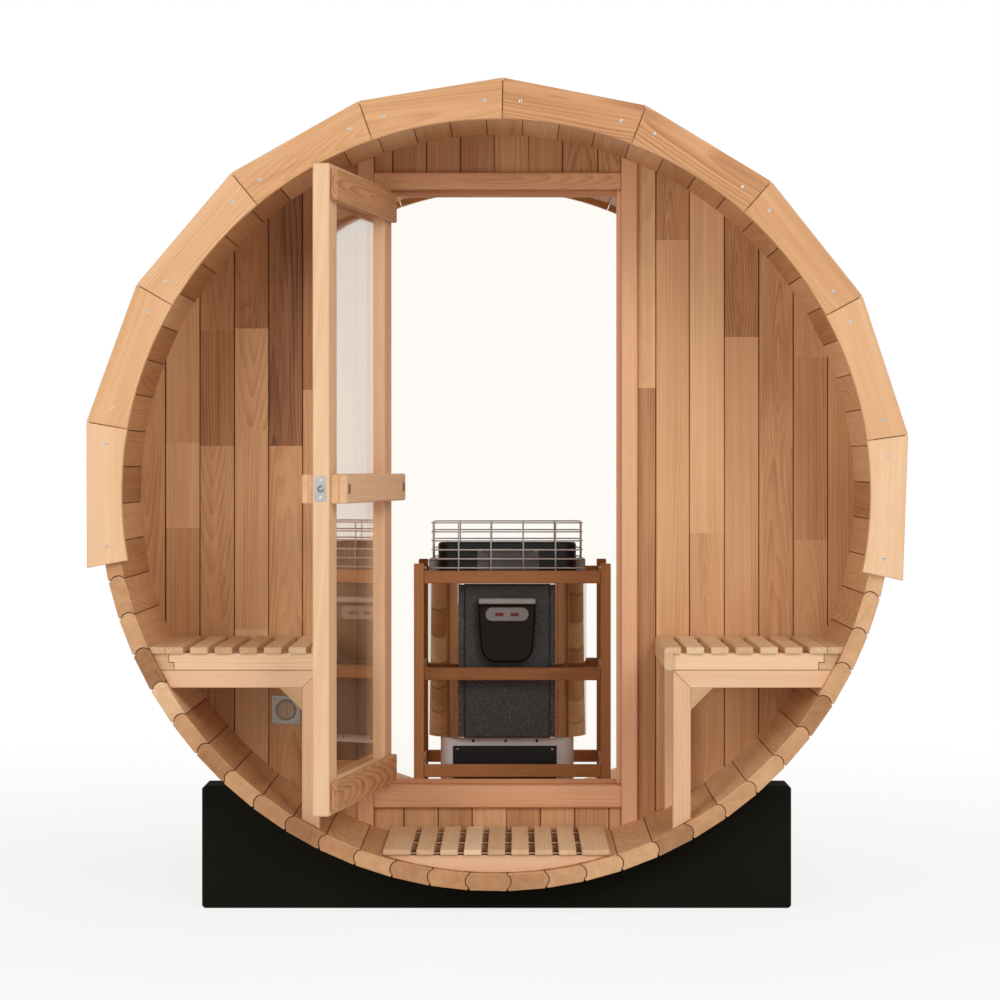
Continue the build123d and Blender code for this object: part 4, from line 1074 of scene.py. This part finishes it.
FINISHES = {
    "barrel_hoops": HOOP, "front_cradle": CRADLE, "rear_cradle": CRADLE, "wall_vent": PLATE,
    "door_glass": DOOR_GLASS, "rear_window": WINDOW_GLASS, "heater_jacket": JACKET, "heater_base": BASE,
    "heater_front_panel": PANEL, "heater_tray": ENAMEL, "door_latch": LATCH,
}
for name, material in FINISHES.items():
    mesh = nodes[name].data
    mesh.materials.clear()
    mesh.materials.append(material)

# Stage, light and camera


def stage_material(name, shade):
    """White to the eye, and an ordinary pale surface to the light."""
    g = Graph(name)
    pale = g.node("BsdfDiffuse")
    pale.inputs[0].default_value = (0.88, 0.88, 0.87, 1)
    glow = g.node("Emission")
    glow.inputs[0].default_value = (1, 1, 1, 1)
    path = g.node("LightPath").outputs
    seen = g.math("ADD", path["Is Camera Ray"], path["Is Glossy Ray"])
    seen = g.math("ADD", seen, path["Is Transmission Ray"])
    away = g.vector("LENGTH", g.node("TexCoord").outputs["Object"])
    seen = g.math("MULTIPLY", g.math("MINIMUM", seen, 1.0), g.spread(away, 1.4, 3.4, shade, 1.0))
    mixed = g.node("MixShader")
    g.feed(mixed.inputs[0], seen)
    g.tree.links.new(pale.outputs[0], mixed.inputs[1])
    g.tree.links.new(glow.outputs[0], mixed.inputs[2])
    g.tree.links.new(mixed.outputs[0], g.out.inputs[0])
    return g.material


FLOOR_RADIUS, FLOOR_HEIGHT = 60, -0.0005
mesh = bpy.data.meshes.new("floor")
ring = [(c * FLOOR_RADIUS, s * FLOOR_RADIUS, FLOOR_HEIGHT) for c, s in circle(48)]
mesh.from_pydata(ring, [], [list(range(len(ring)))])
mesh.materials.append(stage_material("floor_pale", 0.82))
floor = bpy.data.objects.new("floor", mesh)
bpy.context.scene.collection.objects.link(floor)

world = bpy.data.worlds.new("studio")
bpy.context.scene.world = world
world.use_nodes = True
tree = world.node_tree
tree.nodes.clear()
out = tree.nodes.new("ShaderNodeOutputWorld")
fill = tree.nodes.new("ShaderNodeBackground")
fill.inputs["Color"].default_value = (1.0, 0.98, 0.95, 1)
fill.inputs["Strength"].default_value = 0.44
white = tree.nodes.new("ShaderNodeBackground")
white.inputs["Color"].default_value = (1, 1, 1, 1)
white.inputs["Strength"].default_value = 1.0
path = tree.nodes.new("ShaderNodeLightPath")
one = tree.nodes.new("ShaderNodeMath")
one.operation = "ADD"
two = tree.nodes.new("ShaderNodeMath")
two.operation = "ADD"
two.use_clamp = True
mixed = tree.nodes.new("ShaderNodeMixShader")
tree.links.new(path.outputs["Is Camera Ray"], one.inputs[0])
tree.links.new(path.outputs["Is Glossy Ray"], one.inputs[1])
tree.links.new(one.outputs[0], two.inputs[0])
tree.links.new(path.outputs["Is Transmission Ray"], two.inputs[1])
tree.links.new(two.outputs[0], mixed.inputs[0])
tree.links.new(fill.outputs[0], mixed.inputs[1])
tree.links.new(white.outputs[0], mixed.inputs[2])
tree.links.new(mixed.outputs[0], out.inputs[0])


def lamp(name, place, aim, size, watts, colour=(1, 1, 1)):
    light = bpy.data.lights.new(name, "AREA")
    light.shape = "RECTANGLE"
    light.size, light.size_y = size
    light.energy = watts
    light.color = colour
    made = bpy.data.objects.new(name, light)
    made.location = place
    made.rotation_euler = (Vector(aim) - Vector(place)).to_track_quat("-Z", "Y").to_euler()
    bpy.context.scene.collection.objects.link(made)
    return made


lamp("key", (2.4, -5.2, 3.6), (0, -0.3, 1.0), (2.6, 2.6), 118, (1, 0.985, 0.96))
lamp("fill", (-3.2, -5.0, 2.2), (0, -0.3, 0.9), (2.6, 2.6), 82, (1, 0.99, 0.98))
lamp("back", (0.6, 4.4, 3.2), (0, 0.4, 1.0), (3.0, 2.4), 90).visible_glossy = False

camera = bpy.data.cameras.new("camera")
camera.sensor_width = 36
camera.lens = 92.8
camera.shift_x = -0.015
camera.shift_y = -0.037
camera_object = bpy.data.objects.new("camera", camera)
camera_object.location = (0.043, FRONT - 5.930, AXIS + 0.070)
camera_object.rotation_euler = (math.radians(90), 0, 0)
bpy.context.scene.collection.objects.link(camera_object)
bpy.context.scene.camera = camera_object
bpy.context.scene.view_settings.view_transform = "Standard"
